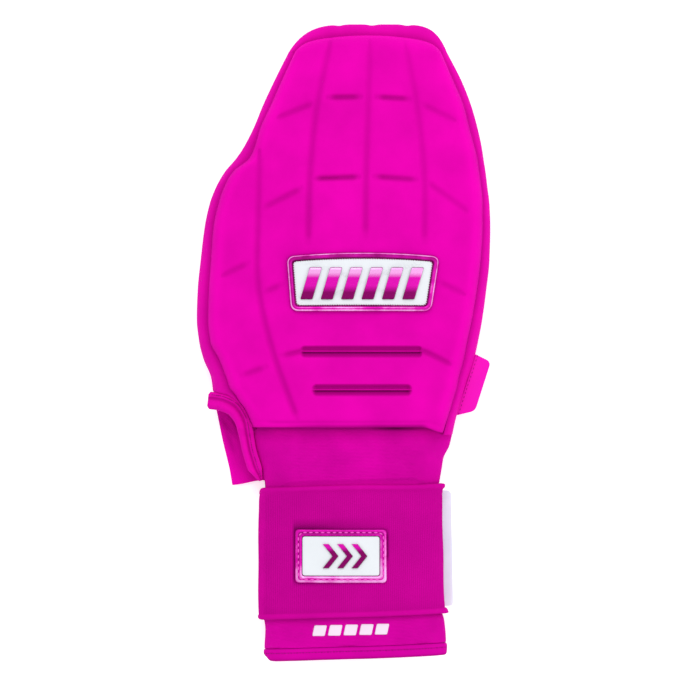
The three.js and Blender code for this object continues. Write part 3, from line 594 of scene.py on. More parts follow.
def finished(bm, name, material, replaced=(), crease_angle=None):
    """Turns a closed bmesh into a piece that rides on the frame."""
    bmesh.ops.recalc_face_normals(bm, faces=bm.faces[:])
    if bm.calc_volume(signed=True) < 0:
        bmesh.ops.reverse_faces(bm, faces=bm.faces[:])
    mesh = bpy.data.meshes.new(name)
    bm.to_mesh(mesh)
    bm.free()
    mesh.shade_smooth()
    if crease_angle is not None:
        mesh.set_sharp_from_angle(angle=math.radians(crease_angle))
    mesh.materials.append(material)
    piece = bpy.data.objects.new(name, mesh)
    bpy.context.scene.collection.objects.link(piece)
    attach(piece, "root")
    if replaced:
        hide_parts(*replaced)
    return piece


def groove_lines():
    for first, last, width, path in GROOVES:
        points = np.array([(x * HAND_WIDTH, up_to_y(up)) for x, up in path])
        yield first, last, width, flowing(points, 24 if len(path) > 2 else 6)


def pad_relief(x, y):
    """How far the pad's face is pressed in, in millimetres, and the painted shade level in its
    grooves and slots.
    """
    press, fold = np.zeros_like(x), np.zeros_like(x)
    for first, last, width, line in groove_lines():
        gap, passed = distance_to(line, x, y)
        length = np.linalg.norm(np.diff(line, axis=0), axis=1).sum()
        ends = smoothstep(0, 4.5, passed * length) * smoothstep(0, 4.5, (1 - passed) * length)
        strength = mix(first, last, passed) * mix(0.35, 1, ends)
        press = np.maximum(press, strength * (1.15 * bell(gap, width) + 0.35 * bell(gap, 4.2)))
        # Painted shade down each groove
        fold = np.maximum(fold, 0.62 * strength * bell(gap, 1.05 * width))
    half = SLOT_WIDTH / 2
    for start, end, up in zip(SLOTS["start"], SLOTS["end"], SLOTS["up"]):
        inside = np.minimum(x - start * HAND_WIDTH, end * HAND_WIDTH - x) + 1.2
        across = smoothstep(-0.4, 2.4, inside)
        t = (y - up_to_y(up)) / (half * mix(0.6, 1, across))
        depth = np.interp(t, SLOT_PRESS["across"], SLOT_PRESS["depth"])
        # Painted shade across each slot
        level = np.interp(t, SLOT_SHADE["across"], SLOT_SHADE["level"])
        press = np.maximum(press, depth * across)
        fold = np.maximum(fold, level * across)
    return press, fold


def slot_rows(v):
    """Moves even shares up the pad closer together where the slots lie."""
    fine = np.linspace(0, 1, 801)
    at = toward_ends(fine, 0.3)
    places = SLOTS["up"] / TIP_START
    crowding = 1 + sum(2.2 * bell(at - place, 0.026) for place in places)
    run = np.r_[0, np.cumsum((crowding[1:] + crowding[:-1]) / 2)]
    return np.interp(v, run / run[-1], at)


def unevenness(x, y):
    """The slow waves of hand-sewn foam, in millimetres."""
    return 0.16 * (
        np.sin(x * 0.21 + y * 0.07 + 0.6) + np.sin(y * 0.17 - x * 0.09 + 2.1)
        + 0.6 * np.sin(x * 0.35 - y * 0.28 + 4.0)
    )


def pad_shade(across, along, fold):
    """The painted shade level, with painted shade along the sewn edge, the foot's seam and the
    foot's edge, and a painted highlight on the crest.
    """
    x, _ = pad_plan(across, along)
    to_side, to_tip, to_foot = pad_distances(across, along)
    to_edge = np.minimum(to_side, to_tip)
    at_tip = smoothstep(0.93, 0.98, along)
    # Painted highlight on the shoulder inside the sewn edge and along the tip's edge
    shoulder_highlight, tip_highlight = bell(to_edge - 4.2, 2.6), 1.2 * bell(to_edge - 0.9, 0.6)
    painted_highlight = shoulder_highlight * (1 - 0.8 * at_tip) + tip_highlight * at_tip
    painted_highlight = painted_highlight * (fold < 0.2) * smoothstep(3, 12, to_foot)
    # Painted shade along the sewn edge and the foot's seam, and on the foot's edge over the cuff
    seam_shade = 0.34 * bell(to_edge, 1.0) * (1 - at_tip)
    foot_seam_shade = 0.30 * bell(to_foot - 2.7, 0.7) * smoothstep(6, 14, to_side)
    over_cuff = smoothstep(-34, -12, x) * (1 - smoothstep(39, 45, x))
    foot_shade = 0.9 * bell(np.maximum(to_foot - 0.5, 0), 1.1)
    foot_shade = foot_shade * over_cuff * mix(0.6, 1, smoothstep(0, 22, x))
    for level in (seam_shade, foot_seam_shade, foot_shade):
        fold = np.maximum(fold, level)
    return fold - 0.55 * painted_highlight


def pad_face(u, v):
    across = 2 * toward_ends(u, 0.3) - 1
    along = slot_rows(v)
    x, y = pad_plan(across, along)
    press, fold = pad_relief(x, y)
    inner = np.minimum(smoothstep(0, 0.2, 1 - np.abs(across)), smoothstep(0, 0.08, along))
    inner = np.minimum(inner, smoothstep(0, 0.05, 1 - along))
    to_foot = pad_distances(across, along)[2]
    lip = 0.22 * bell(to_foot - 1.1, 0.8) - 0.25 * bell(to_foot - 2.9, 0.9)
    z = pad_top(across, along) - press + unevenness(x, y) * inner + lip
    return x, y, z, pad_shade(across, along, fold)


def pad_lining(u, v):
    across = 2 * toward_ends(u, 0.3) - 1
    along = toward_ends(v, 0.3)
    x, y = pad_plan(across, along)
    return x, y, ceiling(across, along), 0.0


def build_pad(material):
    bm = grid(264, 372, pad_face)
    lining = grid(62, 86, pad_lining)
    joined = bpy.data.meshes.new("lining")
    lining.to_mesh(joined)
    lining.free()
    bm.from_mesh(joined)
    bpy.data.meshes.remove(joined)
    open_edges = [edge for edge in bm.edges if edge.is_boundary]
    bmesh.ops.bridge_loops(bm, edges=open_edges)
    piece = finished(bm, "padded_back", material, ("back_pad",), 62)
    return piece


def rim_path(u):
    """The rim's seam and edge in plan, how far up the hand, and how much of a skirt it is.

    u runs from the foot at the little finger's side round the tip to the thumb side.
    """
    along = np.clip(np.minimum(u, 1 - u) / RIM_SIDE, 0, 1)
    turn = np.clip((u - RIM_SIDE) / (1 - 2 * RIM_SIDE), 0, 1)
    across = np.cos(np.pi * turn)
    up = along * TIP_START
    y = pad_plan(across, along)[1] - 1.2 * bell(along, 0.02) * (across > 0)
    on_tip = (u > RIM_SIDE) & (u < 1 - RIM_SIDE)
    little = across > 0
    seam_x = np.where(little, little_seam(up), thumb_seam(up))
    edge_x = np.where(little, little_edge(up), thumb_edge(up))
    tip_x, tip_y = pad_plan(across, np.ones_like(along))
    tip_edge_x = mix(thumb_edge(TIP_START), little_edge(TIP_START), (across + 1) / 2)
    dips = sum(0.6 * bell(tip_edge_x - dip, 2.4) for dip in TIP_DIPS)
    tip_edge_y = up_to_y(tip_edge_up(across)) + 0.8 * (1 - across**8) - dips
    seam = np.where(on_tip, tip_x, seam_x), np.where(on_tip, tip_y, y)
    edge = np.where(on_tip, tip_edge_x, edge_x), np.where(on_tip, tip_edge_y, y)
    skirt = np.where(little | on_tip, 1.0, np.clip(
        (up - OPENING_TOP[0]) / (OPENING_TOP[1] - OPENING_TOP[0]), 0, 1))
    return seam, edge, along, skirt


def rim_point(u, s, sunk):
    """A point of the rim: s from the seam to the palm, sunk from its face towards the lining."""
    seam, edge, along, skirt = rim_path(u)
    span = edge[0] - seam[0], edge[1] - seam[1]
    width = np.hypot(*span)
    top = rim_top(along)
    step = 0.02
    sides = []
    for profile, fall in ((RIM_PROFILE, top - PALM_TOP), (STRIP_PROFILE, STRIP_FALL)):
        out, drop = rows_at(profile, s, smooth=True)
        out_b, drop_b = rows_at(profile, np.clip(s - step, 0, 1), smooth=True)
        out_a, drop_a = rows_at(profile, np.clip(s + step, 0, 1), smooth=True)
        run_r = (out_a - out_b) * (width - CLEARANCE)
        run_z = -(drop_a - drop_b) * fall
        length = np.maximum(np.hypot(run_r, run_z), 1e-6)
        r, z = out * (width - CLEARANCE), top - drop * fall
        sides.append((r, z, run_z / length, run_r / length))
    (skirt_r, skirt_z, inward, upward), (strip_r, strip_z, _, _) = sides
    wall = RIM_WALL * sunk
    skirt_r = skirt_r - 0.24 * bell(s, 0.05) * (1 - sunk)
    r = mix(strip_r, np.maximum(skirt_r + inward * wall, -0.26), skirt)
    z = mix(strip_z - wall, np.where(s >= 1, skirt_z, skirt_z - upward * wall), skirt)
    way = span[0] / width, span[1] / width
    return (
        seam[0] + way[0] * (r + CLEARANCE), seam[1] + way[1] * (r + CLEARANCE),
        np.maximum(z, PALM_TOP),
    )


def rim_face(u, v):
    """Round the section: the face from the seam to the palm, then the lining back."""
    u = toward_ends(u, 0.12)
    s = np.interp(v, (0, 0.62, 0.64, 0.98), (0, 1, 1, 0))
    sunk = np.interp(v, (0.62, 0.66, 0.98, 1), (0, 1, 1, 0))
    x, y, z = rim_point(u, s, sunk)
    pucker = 0.14 * np.sin(u * 1500) * bell(s - 0.12, 0.12) * (sunk == 0)
    wave = 0.18 * np.sin(u * 83 + 1.3) * np.sin(np.pi * np.clip(s, 0, 1)) * (sunk == 0)
    # Painted shade along the rim's seam
    edge = 0.42 * bell(s, 0.13)
    return x, y, np.maximum(z + pucker + wave, PALM_TOP), edge * (sunk == 0)


def build_rim(material):
    bm = grid(560, 42, rim_face, along=True)
    close_ends(bm)
    return finished(bm, "rim_skirt", material, ("rim_band",), 70)


def palm_plan(u, v):
    """A point of the palm panel: u from the thumb side, v from the wrist end to the tip."""
    across = 2 * toward_ends(u, 0.5) - 1
    flap_share = 0.22
    row = np.clip(v / flap_share, 0, 1)
    down = mix(FLAP["down"][0], FLAP["down"][-1], row)
    thumb = through(FLAP, "down", "thumb")(down)
    little = through(FLAP, "down", "little")(down)
    lift = FLAP_SLANT * smoothstep(-1, -0.7, across) * (1 - row) ** 6
    flap_x = mix(thumb, little, (across + 1) / 2) * HAND_WIDTH
    flap_y = FOOT_Y - down * CUFF_SHOW + lift
    first = 0.097
    up = mix(first, TIP_START, np.clip((v - flap_share - 0.03) / (0.97 - flap_share), 0, 1))
    left = mix(thumb_seam(up), thumb_edge(up), PALM_SHARE)
    right = mix(little_seam(up), little_edge(up), PALM_SHARE)
    tip = mix(tip_seam_up(across), tip_edge_up(across), PALM_SHARE)
    hand_x = mix(left, right, (across + 1) / 2)
    hand_y = up_to_y(up + (tip - TIP_START) * (up / TIP_START) ** 6)
    step = np.clip((v - flap_share) / 0.03, 0, 1)
    return mix(flap_x, hand_x, step), mix(flap_y, hand_y, step), across


def palm_face(u, v):
    x, y, across = palm_plan(u, v)
    edge = np.minimum((1 - np.abs(across)) * 60, np.minimum(v, 1 - v) * 240)
    crease = np.zeros_like(x)
    for line in FLAP_CREASES:
        gap, passed = distance_to(np.array(line), x, y)
        crease = np.maximum(crease, bell(gap, 1.5) * np.sin(np.pi * np.clip(passed, 0.05, 0.95)))
    # Painted shade in the pressed creases
    return x, y, PALM_THICKNESS - 0.45 * bell(edge, 0.7) - 0.4 * crease, 0.35 * crease


def build_palm(material):
    bm = grid(110, 190, palm_face)
    bmesh.ops.recalc_face_normals(bm, faces=bm.faces[:])
    made = bmesh.ops.extrude_face_region(bm, geom=bm.faces[:], use_keep_orig=True)["geom"]
    for part in made:
        if isinstance(part, bmesh.types.BMVert):
            part.co.z = 0
    return finished(bm, "palm_layer", material, ("palm_panel",), 50)


def binding_route():
    """Points down the middle of the binding, from the rim's strip to its end beside the cuff."""

    def rim_row(up, share):
        z = rim_top(up / TIP_START) - 3.2
        return np.array([share * HAND_WIDTH, up_to_y(up), float(z)])

    def cuff_row(share, turn):
        x, y, z = cuff_point(turn, CUFF_SHOW * share, 0)
        return np.array([float(x) - 3 * CLEARANCE, float(y), float(z)])

    first = rim_row(0.084, -0.397)
    edge = [
        first + (-0.065 * HAND_WIDTH, 0.2, -5.5),
        first + (-0.030 * HAND_WIDTH, -0.4, -2.2),
        first + (-0.004 * HAND_WIDTH, -1.4, -0.4),
        rim_row(0.062, -0.363), rim_row(0.042, -0.342), rim_row(0.010, -0.323),
        cuff_row(0.16, 176), cuff_row(0.36, 178), cuff_row(0.58, 180), cuff_row(0.84, 184),
    ]
    return flowing(edge, 121)


BINDING_PROFILE = table(
    "side rise",
    (-1, 0.2), (-0.92, 0.62), (-0.5, 0.72), (-0.28, 0.5), (0, 0.85), (0.45, 1), (0.85, 0.7),
    (1, 0), (0.8, -0.75), (0.3, -1), (-0.35, -0.55), (-0.95, -0.3), (-1, 0.2),
)


def binding_point(u, side, rise):
    route = binding_route()
    way = np.gradient(route, axis=0)[:, :2]
    way /= np.linalg.norm(way, axis=1)[:, None]
    shares = np.linspace(0, 1, len(route))
    x, y, z, way_x, way_y = (np.interp(u, shares, column) for column in np.hstack([route, way]).T)
    size = 1 - 0.3 * bell(np.minimum(u, 1 - u), 0.012)
    size = size * (1 - 0.5 * smoothstep(0.86, 1, u))
    half = mix(*BINDING_WIDTHS, smoothstep(0.15, 0.75, u)) / 2
    beside_cuff = smoothstep(0.42, 0.56, u)
    off = half * mix(1, size, beside_cuff) - 0.7 * (1 - beside_cuff) + side * half * size
    # Its inner edge laps over the cuff's shoulder
    cuff_side = bell(side + 1, 0.3) * smoothstep(0.42, 0.58, u)
    off = off - 1.5 * cuff_side * (1 - smoothstep(0.88, 1, u))
    lift = 1.5 + 2.0 * cuff_side * smoothstep(0.52, 1, u)
    lift = lift * beside_cuff * (1 - smoothstep(0.9, 1, u))
    return x + way_y * off, y - way_x * off, z + lift + rise * BINDING_HEIGHT / 2 * size


def binding_face(u, v):
    side, rise = rows_at(BINDING_PROFILE, v, smooth=True)
    crumple = 0.05 * np.sin(u * 61 + side * 2) + 0.035 * np.sin(u * 97 + 1.7)
    gully = bell(side + 0.25, 0.16) * (rise > 0)
    x, y, z = binding_point(u, side, rise * (1 + crumple) - 0.16 * gully)
    # Painted shade in the gully and painted highlight on the rolls' crests
    painted_highlight = bell(side - 0.35, 0.3) + bell(side + 0.75, 0.2) * (1 - smoothstep(0.45, 0.6, u))
    return x, y, z, gully * 0.55 - 0.45 * painted_highlight * (rise > 0)


def build_binding(material):
    bm = grid(190, 48, binding_face, along=True)
    close_ends(bm)
    return finished(bm, "opening_binding", material, ("thumb_binding",), 70)


def even_turns():
    """Turns in degrees at even distances round the wrist."""
    turn = np.linspace(0, 360, 2881)
    x, _, z = cuff_point(turn, mix(CUFF_SHOW, STRAP_END, 0.5), STRAP_FACE)
    run = np.r_[0, np.cumsum(np.hypot(np.diff(x), np.diff(z)))]
    return lambda share: np.interp(share, run / run[-1], turn)


turn_at = even_turns()


def cuff_shade(x, below, top_side):
    """The cuff's painted shade level: a painted shadow under the pad and painted shade beside the
    strap, painted light between them.
    """
    # Painted shadow under the pad's foot, deepest near its middle, and painted light up to the
    # strap
    under_pad = 0.55 * bell(np.clip(below - 0.8, 0, None), 1.1) * top_side
    deepest = 1.8 * bell(np.clip(below - 0.6, 0, None), 1.1) * bell(x - 27, 15) * top_side
    bright = 0.9 * smoothstep(3, 24, below) * (below < CUFF_SHOW) * top_side
    shade = np.maximum(under_pad, deepest) - bright
    for level, strap_edge in ((0.30, CUFF_SHOW), (0.22, STRAP_END)):
        shade = np.maximum(shade, level * bell(below - strap_edge, 1.8))
    return shade


def cuff_face(u, v):
    """Round the cuff and its wall: the face from the mouth to the hem, then the lining back."""
    turn = turn_at(u)
    start = np.interp(turn, CUFF_MOUTH["turn"], CUFF_MOUTH["start"]) * CUFF_SHOW
    share = np.interp(v, (0, 0.60, 0.64, 0.97), (0, 1, 1, 0))
    sunk = np.interp(v, (0.60, 0.64, 0.97, 1), (0, 1, 1, 0))
    # More rows above and below the strap than under it
    share = np.interp(share, (0, 0.5, 0.62, 1), (0, 0.27, 0.80, 1))
    below = mix(start, CUFF_END, share)
    top_side = smoothstep(0.1, 0.6, np.sin(np.radians(turn)))
    above_strap = 1 - smoothstep(0, 5, below - CUFF_SHOW + 6)
    bare = np.maximum(above_strap, smoothstep(0, 5, below - STRAP_END - 2))
    x, y, z = cuff_point(turn, below, -CUFF_WALL * sunk)
    z = z + np.where(sunk == 0, cuff_wave(x, y), 0) * top_side * bare
    under_pad = (y > FOOT_Y - FOOT_DROP - CLEARANCE) & (z > seam_z(0) * 0.7)
    limit = ceiling(*locate(x, y)) - CLEARANCE - CUFF_WALL * sunk
    z = np.where(under_pad, np.minimum(z, limit), z)
    return x, y, z, cuff_shade(x, below, top_side) * (sunk == 0)


def build_cuff(material):
    bm = grid(320, 120, cuff_face, around=True, along=True)
    return finished(bm, "knit_cuff", material, ("wrist_cuff",), 70)


HEM_PROFILE = table(
    "below grow",
    (0.00, -0.2), (0.35, 0.15), (0.9, 0.50), (1.9, 0.60), (2.3, 0.46), (2.7, 0.60), (3.8, 0.68),
    (5.2, 0.62), (6.0, 0.35), (6.4, -0.2), (6.5, -0.9), (6.3, -1.7), (5.9, -2.2), (4.5, -2.4),
    (1.0, -2.4), (0.10, -2.3), (0.00, -0.2),
)


def hem_face(u, v):
    turn, (below, grow) = turn_at(u), rows_at(HEM_PROFILE, v)
    start = CUFF_END + CLEARANCE
    ripple = 0.10 * np.sin(u * 2 * np.pi * 62) * bell(below - 2.3, 1.2)
    x, y, z = cuff_point(turn, np.minimum(start + below, CUFF_LENGTH), grow + ripple)
    cut = bell(turn - 180, 14)
    x = x + 1.6 * cut * smoothstep(2.4, 6.5, below)
    y = y + 0.9 * cut * smoothstep(2.4, 6.5, below)
    # Painted shade along the hem's top and bottom edges
    hem_shade = 0.30 * bell(below, 0.5) + 0.75 * bell(below - 6.5, 1.1)
    return x, y, np.maximum(z, 0), np.where(grow > -1, hem_shade, 0)


def build_hem(material):
    bm = grid(420, 48, hem_face, around=True, along=True)
    return finished(bm, "turned_hem", material, ("cuff_hem",), 70)


STRAP_PROFILE = table(
    "below grow",
    (0.05, 1.2), (0.18, 2.4), (0.5, 3.1), (1.3, 3.4), (2.3, 3.25), (2.9, 2.7), (3.2, 2.5),
    (12, 2.5), (21, 2.5), (30, 2.5), (39, 2.5), (48, 2.5), (57, 2.5),
    (64.4, 2.5), (64.7, 2.7), (65.3, 3.25), (66.3, 3.4), (67.1, 3.1), (67.45, 2.4), (67.55, 1.2),
    (67.3, 0.4), (60, 0.3), (34, 0.3), (8, 0.3), (0.3, 0.4), (0.05, 1.2),
)


def patch_shadow(x, y):
    """How dark the painted shadow on the strap is along the patch's upper and thumb sides."""
    beside, beyond = np.abs(x - PATCH_X) - PATCH_WIDTH / 2, np.abs(y - PATCH_Y) - PATCH_HEIGHT / 2
    from_patch = np.hypot(np.maximum(beside, 0), np.maximum(beyond, 0))
    return 1.5 * (1 - smoothstep(0.2, 2.0, from_patch)) * ((y > PATCH_Y) | (x < PATCH_X))


def strap_face(u, v):
    turn, (below, grow) = turn_at(u), rows_at(STRAP_PROFILE, v)
    outside = grow > 2
    upper_half = below < STRAP_HEIGHT / 2
    on_face = smoothstep(2.7, 3.4, below) * smoothstep(2.7, 3.4, STRAP_HEIGHT - below)
    on_top = smoothstep(-0.1, 0.15, np.sin(np.radians(turn)))
    side = np.minimum(turn, 360 - turn)
    ribs = np.cos(u * 2 * np.pi * RIB_COUNT)
    drift = 0.10 * np.sin(below * 0.21 + np.radians(3 * turn)) * on_face
    little_bump = np.where(upper_half, 0.2, 0.8) * (1 - smoothstep(14, 26, side))
    end_bump = (little_bump - 0.45 * smoothstep(130, 165, side)) * (1 - on_face)
    grow = grow + np.where(outside, ribs * mix(0.03, 0.14, on_face) + drift + end_bump, 0)
    x, y, z = cuff_point(turn, CUFF_SHOW + below, grow)
    y = y + STRAP_BOW * on_top * mix(1, 0.25, smoothstep(5, 42, x)) * (1 - smoothstep(0, 22, below))

    # Painted shade at the rolls' edges and between the ribs, painted highlight on the rolls and the
    # thumb side
    from_roll = np.minimum(below, STRAP_HEIGHT - below) - 3.0
    rib_shade = 0.60 * (0.5 - 0.5 * ribs) * on_face
    roll_highlight = np.where(upper_half, 0.65, 0.1) * (1 - on_face)
    thumb_side_highlight = 1.8 * smoothstep(154, 170, side) * on_face
    shade = 0.30 * bell(from_roll, 0.8) + rib_shade - roll_highlight - thumb_side_highlight
    shade = np.maximum(shade, patch_shadow(x, y) * on_top * on_face)
    return x, y, np.maximum(z, TAB_THICKNESS + CLEARANCE), np.where(outside, shade, 0)


def build_strap(material):
    bm = grid(RIB_COUNT * 4, 44, strap_face, around=True, along=True)
    return finished(bm, "ribbed_strap", material, ("wrist_strap",), 70)


def tab_outline():
    start = CUFF_SHOW + (STRAP_HEIGHT - TAB_HEIGHT) / 2
    high = FOOT_Y - start + CUFF_TILT * 0.8
    low = high - TAB_HEIGHT
    strap_high, strap_low = (
        float(cuff_point(0, below, STRAP_FACE)[0]) for below in (start, start + TAB_HEIGHT))
    corners = (
        (strap_high - TAB_LAP, high), (strap_low - TAB_LAP, low),
        (strap_low + TAB_REACH, low), (strap_high + TAB_REACH, high),
    )
    return rounded(corners, TAB_CORNER, 6, 24)


def build_tab(material):
    bm = plate(tab_outline(), TAB_THICKNESS)
    soften(bm, TAB_SOFTNESS)
    return finished(bm, "hook_tab", material, ("closure_tab",), 40)


def label_seam(count):
    ups = np.linspace(LABEL_UP[0], LABEL_UP[1], count)
    return np.stack([little_edge(ups) + 0.1, up_to_y(ups)], 1)


def label_height():
    top = rim_top(sum(LABEL_UP) / 2 / TIP_START)
    return float(mix(top, PALM_TOP, RIM_PROFILE["fall"][3]) - LABEL_THICKNESS / 2)


def build_label(material):
    seam = label_seam(4)
    upper, lower = seam[0], seam[-1]
    length = np.linalg.norm(lower - upper)
    down = (lower - upper) / length
    out = np.array([-down[1], down[0]]) * LABEL_WIDTH
    corners = [*seam, lower + out - down * 0.16 * length, upper + out + down * 0.04 * length]
    radii = (*[LABEL_SEAM_CORNER] * 4, LABEL_CORNER, LABEL_CORNER)
    bm = plate(rounded(corners, radii, 6, 6), LABEL_THICKNESS)
    bmesh.ops.translate(bm, verts=bm.verts[:], vec=(0, 0, label_height() * MM))
    soften(bm, LABEL_SOFTNESS)
    return finished(bm, "edge_label", material, ("side_label",), 40)


def bowed(loop, corners):
    """Raises the top edge of a loop into a bow over its upper corners."""
    first, low, _, last = corners
    middle, half = (first[0] + last[0]) / 2, (last[0] - first[0]) / 2
    share = smoothstep(low[1], first[1], loop[:, 1])
    lift = BADGE_BOW * share * (1 - np.minimum(np.abs((loop[:, 0] - middle) / half), 1) ** 2)
    return np.stack([loop[:, 0], loop[:, 1] + lift], 1)


def loop_at(loop):
    """Points of a closed loop at shares of its count."""
    at = np.linspace(0, 1, len(loop) + 1)
    return lambda u: [np.interp(u, at, column) for column in closed(loop).T]


def frame_piece(outer, inner, surface, profile, rows, light_swing):
    """A raised frame between two matching outlines, its lower sides painted brighter and its upper
    sides painted darker by a swing.
    """
    outer_at, inner_at = loop_at(outer), loop_at(inner)

    def place(u, v):
        across, rise, fold = rows_at(profile, v)
        (ox, oy), (ix, iy) = outer_at(u), inner_at(u)
        x, y = mix(ox, ix, across), mix(oy, iy, across)
        out = np.hypot(ox - ix, oy - iy)
        # Painted light: sides facing down the plan get less shade, sides facing up get more
        lit = (0.40 * (ox - ix) - 0.92 * (oy - iy)) / out
        return x, y, surface(x, y) + rise, np.clip(fold - light_swing * lit, 0, 1)

    return grid(len(outer), rows, place, around=True, along=True)


def disc_piece(loop, top, bottom, rings, edge_drop=0.2):
    """A closed plate on an outline, its two skins following two surfaces."""
    centre = loop.mean(0)
    loop_points = loop_at(loop)

    def place(u, v):
        out = np.interp(v, (0, 0.46, 0.5, 0.54, 1), (0, 0.985, 1, 1, 0))
        drop = np.interp(v, (0.44, 0.46, 0.5), (0, 0.25, 1))
        x, y = loop_points(u)
        x, y = mix(centre[0], x, out), mix(centre[1], y, out)
        z = np.where(v <= 0.5, top(x, y) - edge_drop * drop, bottom(x, y))
        # Painted shade on the plate's edge band
        return x, y, z, np.where((v > 0.48) & (v <= 0.54), 1.0, 0.0)

    return grid(len(loop), rings, place, around=True)


def slanted_bar(x, y, width, height, lean):
    """A bar's corners from its lower left one on, its top leaning to the right."""
    return (x, y), (x + width, y), (x + width + lean, y + height), (x + lean, y + height)


# The frame's section; its last column is painted reflection: a painted highlight when low, painted
# shade when high
BADGE_PROFILE = table(
    "across rise fold",
    (0.00, 0.30, 0.90), (0.00, 1.20, 0.90), (0.04, 1.80, 0.80), (0.14, 2.20, -0.2),
    (0.24, 2.38, -0.1), (0.36, 2.30, 0.55), (0.50, 2.36, 0.45), (0.64, 2.40, 0.35),
    (0.78, 2.25, 0.30), (0.90, 1.85, 0.65), (1.00, 1.30, 0.90), (1.00, 0.30, 1.00),
    (0.50, 0.30, 0.90), (0.00, 0.30, 0.90),
)


def toothed(loop, pitch, depth):
    """Cuts fine teeth into an outline, at even steps."""
    length = np.linalg.norm(np.diff(closed(loop), axis=0), axis=1).sum()
    teeth = int(length / pitch)
    even = evenly(closed(loop), teeth * 4 + 1)[:-1]
    way = np.roll(even, -1, axis=0) - np.roll(even, 1, axis=0)
    way /= np.linalg.norm(way, axis=1)[:, None]
    out = np.stack([way[:, 1], -way[:, 0]], 1)
    tooth = np.tile((0.0, 0.5, 1.0, 0.5), teeth)
    return even - out * depth * tooth[:, None]


def build_badge(film, panel_film, motif):
    corners = np.array([(x * HAND_WIDTH, up_to_y(up)) for x, up in BADGE])
    inner = inset(corners, BADGE_FRAME_WIDTH)
    outer_loop = bowed(rounded(corners, BADGE_CORNER, 16, 48), corners)
    inner_loop = bowed(rounded(inner, BADGE_INNER_CORNER, 16, 48), corners)
    bm = frame_piece(outer_loop, inner_loop, pad_top_at, BADGE_PROFILE, 52, 0.15)
    finished(bm, "badge_border", film, ("badge_frame",), 60)

    panel = inset(inner, CLEARANCE)
    panel_loop = bowed(rounded(panel, BADGE_INNER_CORNER, 8, 60), corners)
    panel_bottom = higher(pad_top_at, CLEARANCE)
    panel_top = higher(panel_bottom, PANEL_RISE)
    bm = disc_piece(toothed(panel_loop, 1.25, 0.45), panel_top, panel_bottom, 26)
    finished(bm, "badge_face", panel_film, ("badge_panel",), 60)

    high = panel[0][1]
    (left, low), (right, _) = panel[1:3]
    height = (high - low) * 0.74
    pitch = (right - left) * 0.94 / BAR_COUNT
    bar_bottom = higher(panel_top, CLEARANCE)
    for i in range(BAR_COUNT):
        x, y = left + (right - left) * 0.03 + i * pitch, low + (high - low) * 0.14
        bar = rounded(slanted_bar(x, y, pitch * 0.60, height, height * 0.3), 0.7, 5, 12)
        bm = disc_piece(bar, higher(bar_bottom, BAR_RISE), bar_bottom, 18, 0.45)
        finished(bm, f"badge_stripe_{i + 1}", motif, (f"badge_bar_{i + 1}",), 50)


# The frame's section; its last column is painted reflection: a painted highlight when low, painted
# shade when high
PATCH_PROFILE = table(
    "across rise fold",
    (0.00, 0.30, 0.90), (0.02, 0.80, 0.80), (0.08, 1.20, 0.30), (0.20, 1.45, 0.14),
    (0.38, 1.50, 0.16), (0.52, 1.40, 0.70), (0.64, 1.48, 0.35), (0.82, 1.42, 0.20),
    (0.94, 1.20, 0.15), (1.00, 0.90, 0.40), (1.00, 0.30, 1.00), (0.50, 0.30, 0.20),
    (0.00, 0.30, 0.90),
)


def patch_corners():
    signs = np.array([(-1, 1), (-1, -1), (1, -1), (1, 1)])
    return (PATCH_X, PATCH_Y) + signs * (PATCH_WIDTH / 2, PATCH_HEIGHT / 2)


def chevron(x, tall, surface):
    """A chevron on a surface, x at its open side and tall from its middle to each end."""
    lean = tall * 0.8

    def place(u, v):
        arm = 2 * u - 1
        left = x + lean * (1 - np.abs(arm))
        # The face lies a little in from both sides, and the underside takes the full width
        share = np.interp(v, (0, 0.36, 0.46, 0.5, 0.92, 1), (0.04, 0.96, 0.96, 1, 0, 0.04))
        rise = np.interp(v, (0, 0.36, 0.44, 0.5, 0.92, 0.93, 1), (0.5, 0.5, 0.4, 0, 0, 0, 0.5))
        px, py = left + CHEVRON_THICK * share, PATCH_Y + arm * tall
        # Painted shade on one side of the chevron
        return px, py, surface(px, py) + rise, np.where((v > 0.34) & (v < 0.5), 1.0, 0.0)

    bm = grid(24, 24, place, along=True)
    close_ends(bm)
    return bm


def build_patch(film, panel_film, motif):
    corners = patch_corners()
    inner = inset(corners, PATCH_FRAME_WIDTH)
    outer_loop = rounded(corners, PATCH_CORNER, 10, 36)
    inner_loop = rounded(inner, PATCH_INNER_CORNER, 10, 36)
    bm = frame_piece(outer_loop, inner_loop, strap_top_at, PATCH_PROFILE, 44, 0.24)
    finished(bm, "patch_border", film, ("strap_patch_frame",), 60)

    panel_bottom = higher(strap_top_at, CLEARANCE)
    panel_top = higher(panel_bottom, PATCH_RISE * 0.4)
    panel_loop = rounded(inset(inner, CLEARANCE), PATCH_INNER_CORNER - 0.2, 8, 30)
    bm = disc_piece(panel_loop, panel_top, panel_bottom, 26, 0.15)
    finished(bm, "patch_face", panel_film, ("strap_patch_panel",), 60)

    tall = (PATCH_HEIGHT - 2 * PATCH_FRAME_WIDTH) * 0.3
    for i in range(CHEVRON_COUNT):
        x = PATCH_X + (i - (CHEVRON_COUNT - 1) / 2) * CHEVRON_PITCH - 2
        bm = chevron(x, tall, higher(panel_top, CLEARANCE))
        replaced = (f"strap_chevron_{i + 1}",)
        finished(bm, f"patch_chevron_{i + 1}", motif, replaced, 50)


